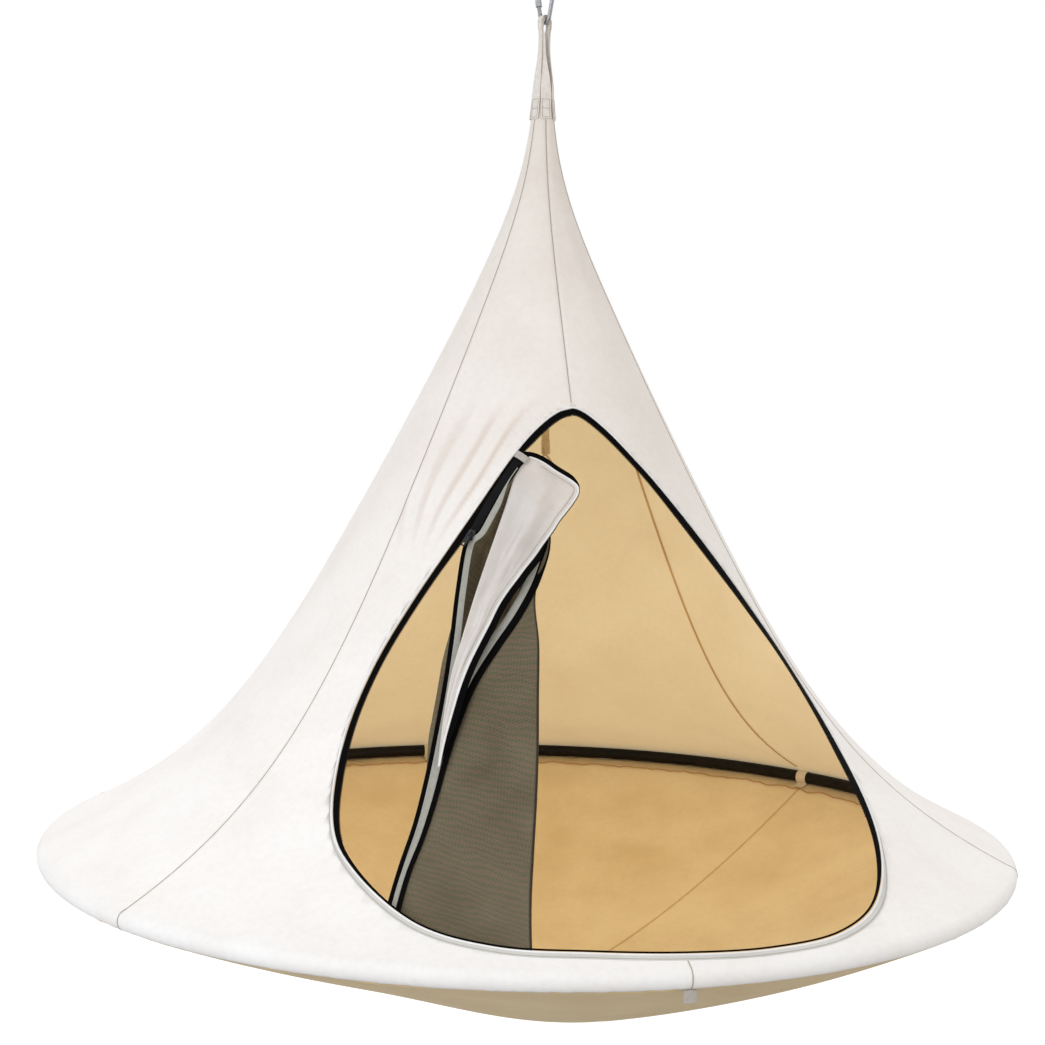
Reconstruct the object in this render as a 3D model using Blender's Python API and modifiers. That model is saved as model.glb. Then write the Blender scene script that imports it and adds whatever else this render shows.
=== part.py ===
"""Hanging tent: a six-gore canopy and a bowl floor sewn round a ring of tubes.

The tent hangs by three looped neck straps from one pear-shaped screw-gate carabiner.
Metres, +Z up. The origin is where a rope or hook bears inside the top of the carabiner,
and the doorway faces -Y. Azimuths are degrees about +Z from -Y, positive towards +X.
"""

from math import acos, asin, atan2, cos, degrees, exp, hypot, pi, radians, sin, sqrt, tan

import bmesh
import bpy
from mathutils import Matrix, Vector

# Overall sizes of the tent
RIM_DIAMETER = 1.800
CANOPY_RISE = 1.344
FLOOR_DROP = 0.280
NECK_LENGTH = 0.182
GORES = 6

# Gap between neighbours that touch, and between turning or sliding pieces
GAP = 0.0003
RUNNING_GAP = 0.0003

# Cloth, webbing and tape
CLOTH = 0.0025
TAPE = 0.0015
WEBBING = 0.0013
STRAP_WIDTH = 0.020

# Canopy: a cone under the neck that softens to a narrow tip and flares out to the rim
CONE_SLOPE = 0.518
CONE_POINT_BELOW_NECK = 0.100
TIP_SOFTNESS = 0.080
RIM_ANGLE = 24.3
STRAP_LAP = 0.040

# Floor: a bowl that leaves the ring at this angle below level
FLOOR_ANGLE = 25.0
FLOOR_CENTRE_HOLE = 0.002

# Ring of aluminium tubes with a spigot inside each joint
TUBE_RADIUS = 0.0125
TUBE_WALL = 0.0015
FERRULE_LENGTH = 0.120
KEEPER_WIDTH = 0.025

# Doorway, in front elevation: heights are above the ring's plane, and the straight sides
# pass the side seams by the margin at the height where they are nearest to them
DOOR_APEX = 0.806
DOOR_APEX_RADIUS = 0.115
DOOR_SEAM_MARGIN = 0.0396
DOOR_SEAM_HEIGHT = 0.270
DOOR_CORNER_RADIUS = 0.145
DOOR_SILL = 0.022
DOOR_SILL_RADIUS = 3.0
DOOR_TAPE_WIDTH = 0.012
DOOR_PIPING_WIDTH = 0.003
DOOR_HEM_WIDTH = 0.007
ZIP_END_ANGLE = -58.0
PIPING_THICKNESS = 0.003

# Carabiner: bent round bar with a sprung gate and a knurled locking sleeve
BAR_RADIUS = 0.004
CARABINER_INSIDE = 0.064
TOP_BOW_RADIUS = 0.020
LOWER_BOW_RADIUS = 0.011
CARABINER_AZIMUTH = -60.0
SHOULDER_ABOVE_BOW = 0.0002
GATE_TONGUE = 0.0034
GATE_PIN_RADIUS = 0.00125
LATCH_TONGUE = 0.0024
LATCH_REACH = 0.0030
LATCH_STOP_WALL = 0.0012
NOSE_LENGTH = 0.0031
NOSE_GAP = 0.0004
SLEEVE_LENGTH = 0.013
SLEEVE_RADIUS = 0.0058
SLEEVE_KNURLS = 24
KNURL_DEPTH = 0.0003
SPRING_BORE_RADIUS = 0.0020
SPRING_WIRE_RADIUS = 0.00025
SPRING_LENGTH = 0.010
SPRING_TURNS = 7
PLUNGER_LENGTH = 0.0045

# Neck straps: three loops of webbing, folded in half where they pass over the bar
FOLDED_WIDTH = 0.010
FOLDED_THICKNESS = 2 * WEBBING
SPREAD_FROM = 0.30

# Hanging strap inside the tent, with an open loop at its end
INNER_STRAP_WIDTH = 0.012
INNER_STRAP_LENGTH = 0.660
INNER_STRAP_BACK = 0.0128
INNER_LOOP_LENGTH = 0.090
INNER_LOOP_WIDTH = 0.050

# Zip slider and its pull
SLIDER_HEIGHT = 0.592
SLIDER_LENGTH = 0.017
SLIDER_WIDTH = 0.013
SLIDER_THICKNESS = 0.0065
SLIDER_SLOT_CLEARANCE = 0.00016
SLIDER_TRAVEL = 0.060
ZIP_TEETH_GAP = 0.0018
LEAF_TAPE_WIDTH = 0.012
PULL_LENGTH = 0.026
PULL_WIDTH = 0.009
PULL_THICKNESS = 0.0014
CROWN_WIDTH = 0.0030
CROWN_LENGTH = 0.0080
TUNNEL_RADIUS = 0.0013
TUNNEL_WALL = 0.0008

# Door leaf and mosquito leaf, gathered at the doorway's left side
LEAF_CLOTH = 0.0020
LEAF_TOP_REACH = 0.0040
LEAF_TOP_RISE = -0.0024
TIE_HEIGHT = 0.724
TIE_WIDTH = 0.018
BINDING_WIDTH = 0.006
EDGE_GAP = 0.0010
LEAF_ROW = 0.005
LEAF_FOLD = 0.006
MESH_FOLD = 0.010
MESH_TURN = 0.010
MESH_BELLY = 0.034

# Small tab under the rim at the front seam
RIM_TAB_WIDTH = 0.020
RIM_TAB_DROP = 0.020
RIM_TAB_THICKNESS = 0.0026

# Facets: one step of azimuth divides a gore evenly, and the ring's joints fall on it
FACETS_PER_GORE = 8
TUBE_SIDES = 10
BAR_SIDES = 16
CANOPY_ROW_HEIGHT = 0.084

GORE_ANGLE = 360.0 / GORES
STEP_ANGLE = GORE_ANGLE / FACETS_PER_GORE
CANOPY_ROWS = round(CANOPY_RISE / CANOPY_ROW_HEIGHT)
NECK_BASE = -CARABINER_INSIDE - NECK_LENGTH
RING_Z = NECK_BASE - CANOPY_RISE
KEEPER_INNER = TUBE_RADIUS + GAP
KEEPER_OUTER = KEEPER_INNER + WEBBING
WRAP_INNER = KEEPER_OUTER + GAP
WRAP_OUTER = WRAP_INNER + CLOTH
RING_RADIUS = RIM_DIAMETER / 2 - WRAP_OUTER
FOLD_STEPS = 7


def srgb(hex_colour):
    """The linear colour of an sRGB hex value."""
    channels = [int(hex_colour[i : i + 2], 16) / 255 for i in (0, 2, 4)]
    linear = [c / 12.92 if c <= 0.04045 else ((c + 0.055) / 1.055) ** 2.4 for c in channels]
    return (*linear, 1.0)


FINISHES = {
    "canopy_cloth": ("ECE8E3", 0.85, 0.0),
    "floor_cloth": ("D2B286", 0.85, 0.0),
    "pale_webbing": ("D3C8BC", 0.80, 0.0),
    "black_tape": ("141312", 0.70, 0.0),
    "white_tape": ("EDEBE8", 0.70, 0.0),
    "door_cloth": ("DCD4CF", 0.80, 0.0),
    "mesh_cloth": ("706D53", 0.90, 0.0),
    "grey_binding": ("A8A79F", 0.75, 0.0),
    "black_tube": ("1B1511", 0.35, 0.8),
    "bare_aluminium": ("B9BBBD", 0.35, 1.0),
    "steel": ("8E8E90", 0.30, 1.0),
    "black_zinc": ("16161A", 0.40, 0.6),
}


def clear_scene():
    for item in list(bpy.data.objects):
        bpy.data.objects.remove(item, do_unlink=True)


def new_collection(name):
    made = bpy.data.collections.new(name)
    bpy.context.scene.collection.children.link(made)
    return made


def finish_material(name):
    """The Principled material of one finish, made once."""
    if name in bpy.data.materials:
        return bpy.data.materials[name]
    colour, roughness, metallic = FINISHES[name]
    made = bpy.data.materials.new(name)
    made.use_nodes = True
    shader = made.node_tree.nodes["Principled BSDF"]
    shader.inputs["Base Color"].default_value = srgb(colour)
    shader.inputs["Roughness"].default_value = roughness
    shader.inputs["Metallic"].default_value = metallic
    return made


def add_pivot(name, matrix, parent):
    """An empty on a joint's axis, which carries the pieces that move about it."""
    pivot = bpy.data.objects.new(name, None)
    bpy.data.collections["hanging_tent"].objects.link(pivot)
    pivot.empty_display_size = 0.02
    place_under(pivot, matrix, parent)
    return pivot


def place_under(item, matrix, parent):
    """Stands an object at a place in the world, under its parent."""
    if parent is None:
        item.matrix_world = matrix
    else:
        bpy.context.view_layer.update()
        item.parent = parent
        item.matrix_parent_inverse = parent.matrix_world.inverted()
        item.matrix_basis = matrix


def add_part(name, mesh, finish, pivot, matrix=Matrix(), smooth_angle=35.0):
    """A named sub-part in the tent's collection."""
    part = bpy.data.objects.new(name, mesh)
    bpy.data.collections["hanging_tent"].objects.link(part)
    mesh.materials.clear()
    mesh.materials.append(finish_material(finish))
    mesh.shade_smooth()
    mesh.set_sharp_from_angle(angle=radians(smooth_angle))
    place_under(part, matrix, pivot)
    return part


def add_cutter(name, mesh, matrix=None):
    cutter = bpy.data.objects.new(name, mesh)
    bpy.data.collections["cutters"].objects.link(cutter)
    cutter.hide_render = True
    cutter.display_type = "WIRE"
    if matrix is not None:
        cutter.matrix_world = matrix
    return cutter


def boolean(part, cutter, operation):
    modifier = part.modifiers.new(f"{operation.lower()}_{cutter.name}", "BOOLEAN")
    modifier.operation = operation
    modifier.object = cutter
    return modifier


def to_mesh(bm, name):
    """Turns a closed bmesh into a mesh with its faces pointing out."""
    bmesh.ops.recalc_face_normals(bm, faces=bm.faces)
    mesh = bpy.data.meshes.new(name)
    bm.to_mesh(mesh)
    bm.free()
    return mesh


def curve_mesh(curve, name, matrix=None):
    """The welded mesh of a curve, whose own object is removed."""
    item = bpy.data.objects.new(name, curve)
    bpy.context.scene.collection.objects.link(item)
    bpy.context.view_layer.update()
    evaluated = item.evaluated_get(bpy.context.evaluated_depsgraph_get())
    mesh = bpy.data.meshes.new_from_object(evaluated)
    bpy.data.objects.remove(item, do_unlink=True)
    bm = bmesh.new()
    bm.from_mesh(mesh)
    bmesh.ops.remove_doubles(bm, verts=bm.verts, dist=0.00001)
    bm.to_mesh(mesh)
    bm.free()
    if matrix is not None:
        mesh.transform(matrix)
    return mesh


def plate_mesh(name, outlines, thickness, matrix=None):
    """A flat plate whose first outline is its edge and whose others are its holes."""
    curve = bpy.data.curves.new(name, "CURVE")
    curve.dimensions = "2D"
    curve.fill_mode = "BOTH"
    curve.extrude = thickness / 2
    for outline in outlines:
        spline = curve.splines.new("POLY")
        spline.points.add(len(outline) - 1)
        for point, (x, y) in zip(spline.points, outline):
            point.co = (x, y, 0.0, 1.0)
        spline.use_cyclic_u = True
    return curve_mesh(curve, name, matrix)


def bar_mesh(name, points, radius, resolution=2, matrix=None):
    """A round bar or wire along points, with flat ends."""
    curve = bpy.data.curves.new(name, "CURVE")
    curve.dimensions = "3D"
    curve.bevel_depth = radius
    curve.bevel_resolution = resolution
    curve.use_fill_caps = True
    spline = curve.splines.new("POLY")
    spline.points.add(len(points) - 1)
    for point, place in zip(spline.points, points):
        point.co = (*place, 1.0)
    return curve_mesh(curve, name, matrix)


def box_mesh(name, size, centre, matrix=None):
    bm = bmesh.new()
    bmesh.ops.create_cube(bm, size=1.0)
    bmesh.ops.scale(bm, verts=bm.verts, vec=size)
    bmesh.ops.translate(bm, verts=bm.verts, vec=centre)
    mesh = to_mesh(bm, name)
    if matrix is not None:
        mesh.transform(matrix)
    return mesh


def rod_mesh(name, radius, start, stop, sides=BAR_SIDES, matrix=None):
    """A straight round rod along local +Y from start to stop."""
    bm = bmesh.new()
    bmesh.ops.create_cone(
        bm, cap_ends=True, segments=sides, radius1=radius, radius2=radius, depth=stop - start
    )
    bmesh.ops.rotate(bm, verts=bm.verts, matrix=Matrix.Rotation(-pi / 2, 3, "X"))
    bmesh.ops.translate(bm, verts=bm.verts, vec=(0, (start + stop) / 2, 0))
    mesh = to_mesh(bm, name)
    if matrix is not None:
        mesh.transform(matrix)
    return mesh


def arc(centre, radius, start, stop, steps):
    """Points on an arc between two angles in degrees, both ends included."""
    angles = [radians(start + (stop - start) * i / steps) for i in range(steps + 1)]
    return [(centre[0] + radius * cos(a), centre[1] + radius * sin(a)) for a in angles]


# The canopy and floor as surfaces of revolution, by height above the ring's plane


def cone_radius(height):
    """Radius of the softened cone, without the flare at the rim."""
    lean = CONE_SLOPE * (CANOPY_RISE - CONE_POINT_BELOW_NECK - height)
    return (lean + sqrt(lean * lean + TIP_SOFTNESS * TIP_SOFTNESS)) / 2


def cone_lean(height):
    """How fast the cone's radius falls with height."""
    lean = CONE_SLOPE * (CANOPY_RISE - CONE_POINT_BELOW_NECK - height)
    return CONE_SLOPE * (1 + lean / sqrt(lean * lean + TIP_SOFTNESS * TIP_SOFTNESS)) / 2


WRAP_TOP_ANGLE = 90.0 - RIM_ANGLE
WRAP_LEAVE_HEIGHT = WRAP_OUTER * sin(radians(WRAP_TOP_ANGLE))
WRAP_LEAVE_RADIUS = RING_RADIUS + WRAP_OUTER * cos(radians(WRAP_TOP_ANGLE))
FLARE = WRAP_LEAVE_RADIUS - cone_radius(WRAP_LEAVE_HEIGHT)
FLARE_HEIGHT = FLARE / (1 / tan(radians(RIM_ANGLE)) - cone_lean(WRAP_LEAVE_HEIGHT))


def canopy_radius(height):
    """Outer radius of the canopy, which meets the ring's wrap at a tangent."""
    return cone_radius(height) + FLARE * exp(-(height - WRAP_LEAVE_HEIGHT) / FLARE_HEIGHT)


def canopy_lean(height):
    """How fast the canopy's radius falls with height."""
    flare = FLARE / FLARE_HEIGHT * exp(-(height - WRAP_LEAVE_HEIGHT) / FLARE_HEIGHT)
    return cone_lean(height) + flare


WRAP_SEAM_ANGLE = FLOOR_ANGLE - 90.0
FLOOR_EDGE_RADIUS = RING_RADIUS + WRAP_OUTER * cos(radians(WRAP_SEAM_ANGLE))
FLOOR_EDGE_HEIGHT = WRAP_OUTER * sin(radians(WRAP_SEAM_ANGLE))
FLOOR_DEPTH = FLOOR_DROP + FLOOR_EDGE_HEIGHT
FLOOR_POWER = tan(radians(FLOOR_ANGLE)) * FLOOR_EDGE_RADIUS / FLOOR_DEPTH


def floor_height(radius):
    """Height of the floor's underside, negative below the ring's plane."""
    return FLOOR_EDGE_HEIGHT - FLOOR_DEPTH * (1 - (radius / FLOOR_EDGE_RADIUS) ** FLOOR_POWER)


def offset_line(points, distance):
    """An open line moved sideways by a distance, to the right of its direction."""
    moved = []
    for i, (x, y) in enumerate(points):
        x0, y0 = points[max(i - 1, 0)]
        x1, y1 = points[min(i + 1, len(points) - 1)]
        length = sqrt((x1 - x0) ** 2 + (y1 - y0) ** 2)
        moved.append((x + distance * (y1 - y0) / length, y - distance * (x1 - x0) / length))
    return moved


def canopy_line(highest):
    """Outer line of the canopy from the top down, its points closer at the tip and rim."""
    line = []
    for i in range(CANOPY_ROWS + 1):
        fall = 0.25 * i / CANOPY_ROWS + 0.75 * (1 - cos(pi * i / CANOPY_ROWS)) / 2
        height = highest + (WRAP_LEAVE_HEIGHT - highest) * fall
        line.append((canopy_radius(height), height))
    return line


def canopy_section():
    """Closed section of a gore: outer line, wrap round the ring, and inner line."""
    skin = canopy_line(CANOPY_RISE + STRAP_LAP + CLOTH)
    outer = skin[:-1]
    inner = offset_line(skin, CLOTH)[:-1]
    inner[0] = (inner[0][0], outer[0][1])
    seam = WRAP_SEAM_ANGLE + degrees(GAP / WRAP_OUTER)
    ring = (RING_RADIUS, 0.0)
    outer += arc(ring, WRAP_OUTER, WRAP_TOP_ANGLE, seam, FOLD_STEPS)
    inner += arc(ring, WRAP_INNER, WRAP_TOP_ANGLE, seam, FOLD_STEPS)
    return outer + inner[::-1]


def floor_section():
    """Closed section of a floor panel, from the ring's seam to the middle of the bowl."""
    rows = 8
    edge = FLOOR_EDGE_RADIUS
    radii = [edge + (FLOOR_CENTRE_HOLE - edge) * i / rows for i in range(rows + 1)]
    lower = [(r, floor_height(r)) for r in radii]
    upper = offset_line(lower, CLOTH)
    upper[-1] = (lower[-1][0], upper[-1][1])
    return lower + upper[::-1]


def spun(section, first, last, loops=1):
    """A closed (radius, height) section turned from one azimuth to another, ends cut flat.

    The section may hold several loops of equal length, such as a tube's two walls. The
    turning steps fall on whole multiples of STEP_ANGLE, so that neighbours' facets match.
    """
    from_step = int((first + 720.0) / STEP_ANGLE + 0.001) - round(720.0 / STEP_ANGLE)
    from_step -= 1
    steps = 0
    while (from_step + steps) * STEP_ANGLE <= last + 0.001:
        steps += 1
    bm = bmesh.new()
    count = len(section) // loops
    for loop in range(loops):
        ring = section[loop * count : (loop + 1) * count]
        verts = [bm.verts.new((0.0, -r, RING_Z + h)) for r, h in ring]
        for i, vert in enumerate(verts):
            bm.edges.new((vert, verts[(i + 1) % count]))
    turn = Matrix.Rotation(radians(from_step * STEP_ANGLE), 3, "Z")
    bmesh.ops.rotate(bm, verts=bm.verts, matrix=turn)
    geometry = bm.verts[:] + bm.edges[:]
    bmesh.ops.spin(
        bm,
        geom=geometry,
        cent=(0, 0, 0),
        axis=(0, 0, 1),
        dvec=(0, 0, 0),
        angle=radians(steps * STEP_ANGLE),
        steps=steps,
        use_merge=False,
        use_duplicate=False,
    )
    for azimuth, side in ((first, -1.0), (last, 1.0)):
        along = Vector((cos(radians(azimuth)), sin(radians(azimuth)), 0.0)) * side
        cut = bmesh.ops.bisect_plane(
            bm,
            geom=bm.verts[:] + bm.edges[:] + bm.faces[:],
            dist=0.00001,
            plane_co=along * (-GAP / 2),
            plane_no=along,
            clear_outer=True,
        )
        edges = [e for e in cut["geom_cut"] if isinstance(e, bmesh.types.BMEdge)]
        if loops == 1:
            bmesh.ops.holes_fill(bm, edges=edges, sides=0)
        else:
            bmesh.ops.triangle_fill(bm, use_beauty=True, edges=edges, normal=along)
    return bm


def make_canopy(tent):
    """Six gores that meet at the seams, the front seam at azimuth 0."""
    section = canopy_section()
    for i in range(GORES):
        mesh = to_mesh(spun(section, i * GORE_ANGLE, (i + 1) * GORE_ANGLE), "gore")
        gore = add_part(f"canopy_gore_{i + 1}", mesh, "canopy_cloth", tent)
        if i in (0, GORES - 1):
            boolean(gore, doorway_cutter(f"doorway_for_gore_{i + 1}"), "DIFFERENCE")


def make_floor(tent):
    """Six floor panels sewn to the canopy's lower edge and to each other."""
    section = floor_section()
    for i in range(GORES):
        mesh = to_mesh(spun(section, i * GORE_ANGLE, (i + 1) * GORE_ANGLE), "floor_panel")
        add_part(f"floor_panel_{i + 1}", mesh, "floor_cloth", tent)


def ring_section(outer, wall):
    """The two circles of a tube, as loops of one section."""
    ring = (RING_RADIUS, 0.0)
    turn = 360.0 - 360.0 / TUBE_SIDES
    return arc(ring, outer, 0.0, turn, TUBE_SIDES - 1) + arc(
        ring, outer - wall, 0.0, turn, TUBE_SIDES - 1
    )


def make_ring(tent):
    """Six bent tubes, the spigots inside their joints and the webbing keepers round them."""
    tube = ring_section(TUBE_RADIUS, TUBE_WALL)
    ferrule = ring_section(TUBE_RADIUS - TUBE_WALL - GAP, TUBE_WALL)
    keeper = ring_section(KEEPER_OUTER, WEBBING)
    ferrule_half = degrees(FERRULE_LENGTH / 2 / RING_RADIUS)
    keeper_half = degrees(KEEPER_WIDTH / 2 / RING_RADIUS)
    for i in range(GORES):
        seam = i * GORE_ANGLE
        joint = seam + GORE_ANGLE / 2
        mesh = to_mesh(spun(tube, joint, joint + GORE_ANGLE, loops=2), "ring_tube")
        add_part(f"ring_tube_{i + 1}", mesh, "black_tube", tent)
        ends = joint - ferrule_half, joint + ferrule_half
        mesh = to_mesh(spun(ferrule, *ends, loops=2), "ring_ferrule")
        add_part(f"ring_ferrule_{i + 1}", mesh, "bare_aluminium", tent)
        ends = seam - keeper_half, seam + keeper_half
        mesh = to_mesh(spun(keeper, *ends, loops=2), "ring_keeper")
        add_part(f"ring_keeper_{i + 1}", mesh, "pale_webbing", tent)


# The doorway's outline in front elevation: two straight sides, arcs at apex, corners and sill

APEX_CENTRE = (0.0, DOOR_APEX - DOOR_APEX_RADIUS)


def side_angle():
    """Lean of the doorway's straight sides, which touch the arc at the apex."""
    reach = canopy_radius(DOOR_SEAM_HEIGHT) * sin(radians(GORE_ANGLE)) - DOOR_SEAM_MARGIN
    fall = APEX_CENTRE[1] - DOOR_SEAM_HEIGHT
    return acos(DOOR_APEX_RADIUS / hypot(reach, fall)) - atan2(fall, reach)


SIDE = side_angle()
SILL_CENTRE = (0.0, DOOR_SILL + DOOR_SILL_RADIUS)


def corner_centre():
    """Centre of the arc that touches the right side line and the sill's arc."""
    side_distance = sin(SIDE) * APEX_CENTRE[1] + DOOR_APEX_RADIUS - DOOR_CORNER_RADIUS
    start = (side_distance * cos(SIDE), side_distance * sin(SIDE))
    way = (sin(SIDE), -cos(SIDE))
    gap = (start[0] - SILL_CENTRE[0], start[1] - SILL_CENTRE[1])
    along = gap[0] * way[0] + gap[1] * way[1]
    reach = DOOR_SILL_RADIUS - DOOR_CORNER_RADIUS
    run = -along + sqrt(along * along - gap[0] ** 2 - gap[1] ** 2 + reach * reach)
    return (start[0] + way[0] * run, start[1] + way[1] * run)


CORNER_CENTRE = corner_centre()
CORNER_LOW_ANGLE = degrees(
    atan2(CORNER_CENTRE[1] - SILL_CENTRE[1], CORNER_CENTRE[0] - SILL_CENTRE[0])
)


def mirrored(points):
    """The same right-hand line on the left, in reverse order."""
    return [(-x, y) for x, y in reversed(points)]


def zip_line(inset):
    """The zip's line from its left end over the apex to its right end."""
    side = degrees(SIDE)
    apex = arc(APEX_CENTRE, DOOR_APEX_RADIUS - inset, 90.0, side, 5)
    corner = arc(CORNER_CENTRE, DOOR_CORNER_RADIUS - inset, side, ZIP_END_ANGLE, 7)
    right = apex + corner
    return mirrored(right)[:-1] + right


def sill_line(inset):
    """The sill's line from the zip's right end to its left end."""
    corner = arc(CORNER_CENTRE, DOOR_CORNER_RADIUS - inset, ZIP_END_ANGLE, CORNER_LOW_ANGLE, 3)
    sill = arc(SILL_CENTRE, DOOR_SILL_RADIUS - inset, CORNER_LOW_ANGLE, -90.0, 4)[1:]
    right = corner + sill
    return right + mirrored(right)[1:]


def elevation_prism(name, outlines):
    """A prism whose outline is given in front elevation and which runs back to the axis."""
    near = -RIM_DIAMETER
    far = -TIP_SOFTNESS / 4
    stand = Matrix.Translation((0, (near + far) / 2, RING_Z)) @ Matrix.Rotation(pi / 2, 4, "X")
    return plate_mesh(name, outlines, far - near, stand)


def doorway_cutter(name):
    outline = zip_line(0.0) + sill_line(0.0)[1:-1]
    return add_cutter(name, elevation_prism(name, [outline]))


def cloth_band(name, line, inner_line, thickness, finish, tent):
    """A band that lies in the canopy's surface between two lines of the elevation."""
    skin = canopy_line(CANOPY_RISE + STRAP_LAP + CLOTH)
    outer = offset_line(skin, (CLOTH - thickness) / 2)
    inner = offset_line(skin, (CLOTH + thickness) / 2)
    shell = to_mesh(spun(outer + inner[::-1], -GORE_ANGLE, GORE_ANGLE), f"{name}_shell")
    edging = add_part(name, shell, finish, tent)
    prism = elevation_prism(f"{name}_outline", [line + inner_line[::-1]])
    boolean(edging, add_cutter(f"{name}_outline", prism), "INTERSECT")


def make_door_edges(tent):
    """White piping and black zip tape over the top, and the white hem along the sill."""
    tape = DOOR_PIPING_WIDTH + GAP
    piping_lines = zip_line(GAP), zip_line(DOOR_PIPING_WIDTH)
    tape_lines = zip_line(tape), zip_line(tape + DOOR_TAPE_WIDTH)
    hem_lines = shorten(sill_line(GAP), GAP), shorten(sill_line(DOOR_HEM_WIDTH), GAP)
    cloth_band("door_piping", *piping_lines, PIPING_THICKNESS, "white_tape", tent)
    cloth_band("door_zip_tape", *tape_lines, TAPE, "black_tape", tent)
    cloth_band("door_hem", *hem_lines, TAPE, "white_tape", tent)


def shorten(line, amount):
    """A line with both ends moved in along it."""
    first = Vector(line[0]) + (Vector(line[1]) - Vector(line[0])).normalized() * amount
    last = Vector(line[-1]) + (Vector(line[-2]) - Vector(line[-1])).normalized() * amount
    return [tuple(first), *line[1:-1], tuple(last)]


# Places on the canopy for what hangs in the doorway, in front elevation


def front_point(x, height, inset=0.0):
    """A point at x in elevation that lies inside the canopy's face by an inset."""
    radius = canopy_radius(height) - inset
    return Vector((x, -sqrt(radius * radius - x * x), RING_Z + height))


def front_normal(x, height):
    """The canopy's outward normal at a place in elevation."""
    radius = canopy_radius(height)
    flat = Vector((x / radius, -sqrt(1 - (x / radius) ** 2), canopy_lean(height)))
    return flat.normalized()


def swept_band(stations):
    """A flat band through stations of centre, across, outward, half width and half thickness."""
    bm = bmesh.new()
    rings = []
    for centre, across, outward, half_width, half_thickness in stations:
        wide = across.normalized() * half_width
        thick = outward.normalized() * half_thickness
        corners = (wide + thick, thick - wide, -wide - thick, wide - thick)
        rings.append([bm.verts.new(centre + corner) for corner in corners])
    for here, there in zip(rings, rings[1:]):
        for i in range(4):
            bm.faces.new((here[i], here[(i + 1) % 4], there[(i + 1) % 4], there[i]))
    bm.faces.new(rings[0])
    bm.faces.new(rings[-1][::-1])
    return bm


def ways(points):
    """The direction of a line at each of its points."""
    last = len(points) - 1
    return [
        (points[min(i + 1, last)] - points[max(i - 1, 0)]).normalized() for i in range(last + 1)
    ]


def band(points, acrosses, width, thickness):
    """A band of one width along points, its width lying along the given directions."""
    stations = [
        (point, across, across.cross(way), width / 2, thickness / 2)
        for point, across, way in zip(points, acrosses, ways(points))
    ]
    return swept_band(stations)


def smooth_line(points, count):
    """Evenly numbered places on a smooth curve through the given ones."""
    line = []
    for i in range(count):
        place = (len(points) - 1) * i / (count - 1)
        start = min(int(place), len(points) - 2)
        t = place - start
        near = (points[max(start - 1, 0)], points[start], points[start + 1])
        far = points[min(start + 2, len(points) - 1)]
        line.append(
            tuple(
                b + t * (c - a) / 2 + t * t * (a - 2.5 * b + 2 * c - d / 2)
                + t * t * t * (1.5 * (b - c) + (d - a) / 2)
                for a, b, c, d in zip(*near, far)
            )
        )
    return line


def sheet_mesh(name, rows):
    """An open sheet through rows of points."""
    bm = bmesh.new()
    grid = [[bm.verts.new(point) for point in row] for row in rows]
    for upper, lower in zip(grid, grid[1:]):
        for i in range(len(upper) - 1):
            bm.faces.new((upper[i], lower[i], lower[i + 1], upper[i + 1]))
    mesh = bpy.data.meshes.new(name)
    bm.to_mesh(mesh)
    bm.free()
    return mesh


def add_cloth(name, rows, finish, pivot):
    """A hanging sheet with the thickness of its cloth."""
    sheet = add_part(name, sheet_mesh(name, rows), finish, pivot, smooth_angle=80.0)
    thick = sheet.modifiers.new("cloth", "SOLIDIFY")
    thick.thickness = LEAF_CLOTH
    thick.offset = 0.0
    return sheet


def folded_row(left, right, inward, columns, folds=0, depth=0.0, belly=0.0):
    """A row of cloth between two points, with soft folds and a belly to the inside."""
    row = []
    for i in range(columns + 1):
        t = i / columns
        fold = depth * (1 - cos(2 * pi * folds * t)) / 2
        row.append(left.lerp(right, t) + inward * (fold + 4 * belly * t * (1 - t)))
    return row


def edge_band(rows, gap, width):
    """A tape that carries a sheet on beyond the last point of each of its rows."""
    stations = []
    for row, way in zip(rows, ways([row[-1] for row in rows])):
        beyond = row[-1] - row[-2]
        across = (beyond - way * beyond.dot(way)).normalized()
        centre = row[-1] + across * (gap + width / 2)
        stations.append((centre, across, across.cross(way), width / 2, TAPE / 2))
    return swept_band(stations)


# What hangs in the doorway, by distance from the doorway's left side, height and inset
# behind the canopy's face


def side_reach(height, elevation_inset=0.0):
    """How far from the middle a line parallel to the doorway's side runs at a height."""
    radius = DOOR_APEX_RADIUS - elevation_inset
    return (APEX_CENTRE[1] + radius / sin(SIDE) - height) * tan(SIDE)


def from_side(places):
    """The same places with x in elevation instead of the distance from the side."""
    return [(aside - side_reach(height), height, inset) for aside, height, inset in places]


def beside_tie(reach, rise, inset):
    """A place to the right of the tie's inner end, which lies above that end by a rise."""
    x = -side_reach(TIE_HEIGHT) + cos(SIDE) * LEAF_TAPE_EDGE + reach
    return (x, TIE_HEIGHT - sin(SIDE) * LEAF_TAPE_EDGE + rise, inset)


TAPE_INNER_EDGE = DOOR_PIPING_WIDTH + GAP + DOOR_TAPE_WIDTH
ZIP_MIDDLE = TAPE_INNER_EDGE + ZIP_TEETH_GAP / 2
LEAF_TAPE_MIDDLE = TAPE_INNER_EDGE + ZIP_TEETH_GAP + LEAF_TAPE_WIDTH / 2
LEAF_TAPE_EDGE = LEAF_TAPE_MIDDLE + LEAF_TAPE_WIDTH / 2

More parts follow.
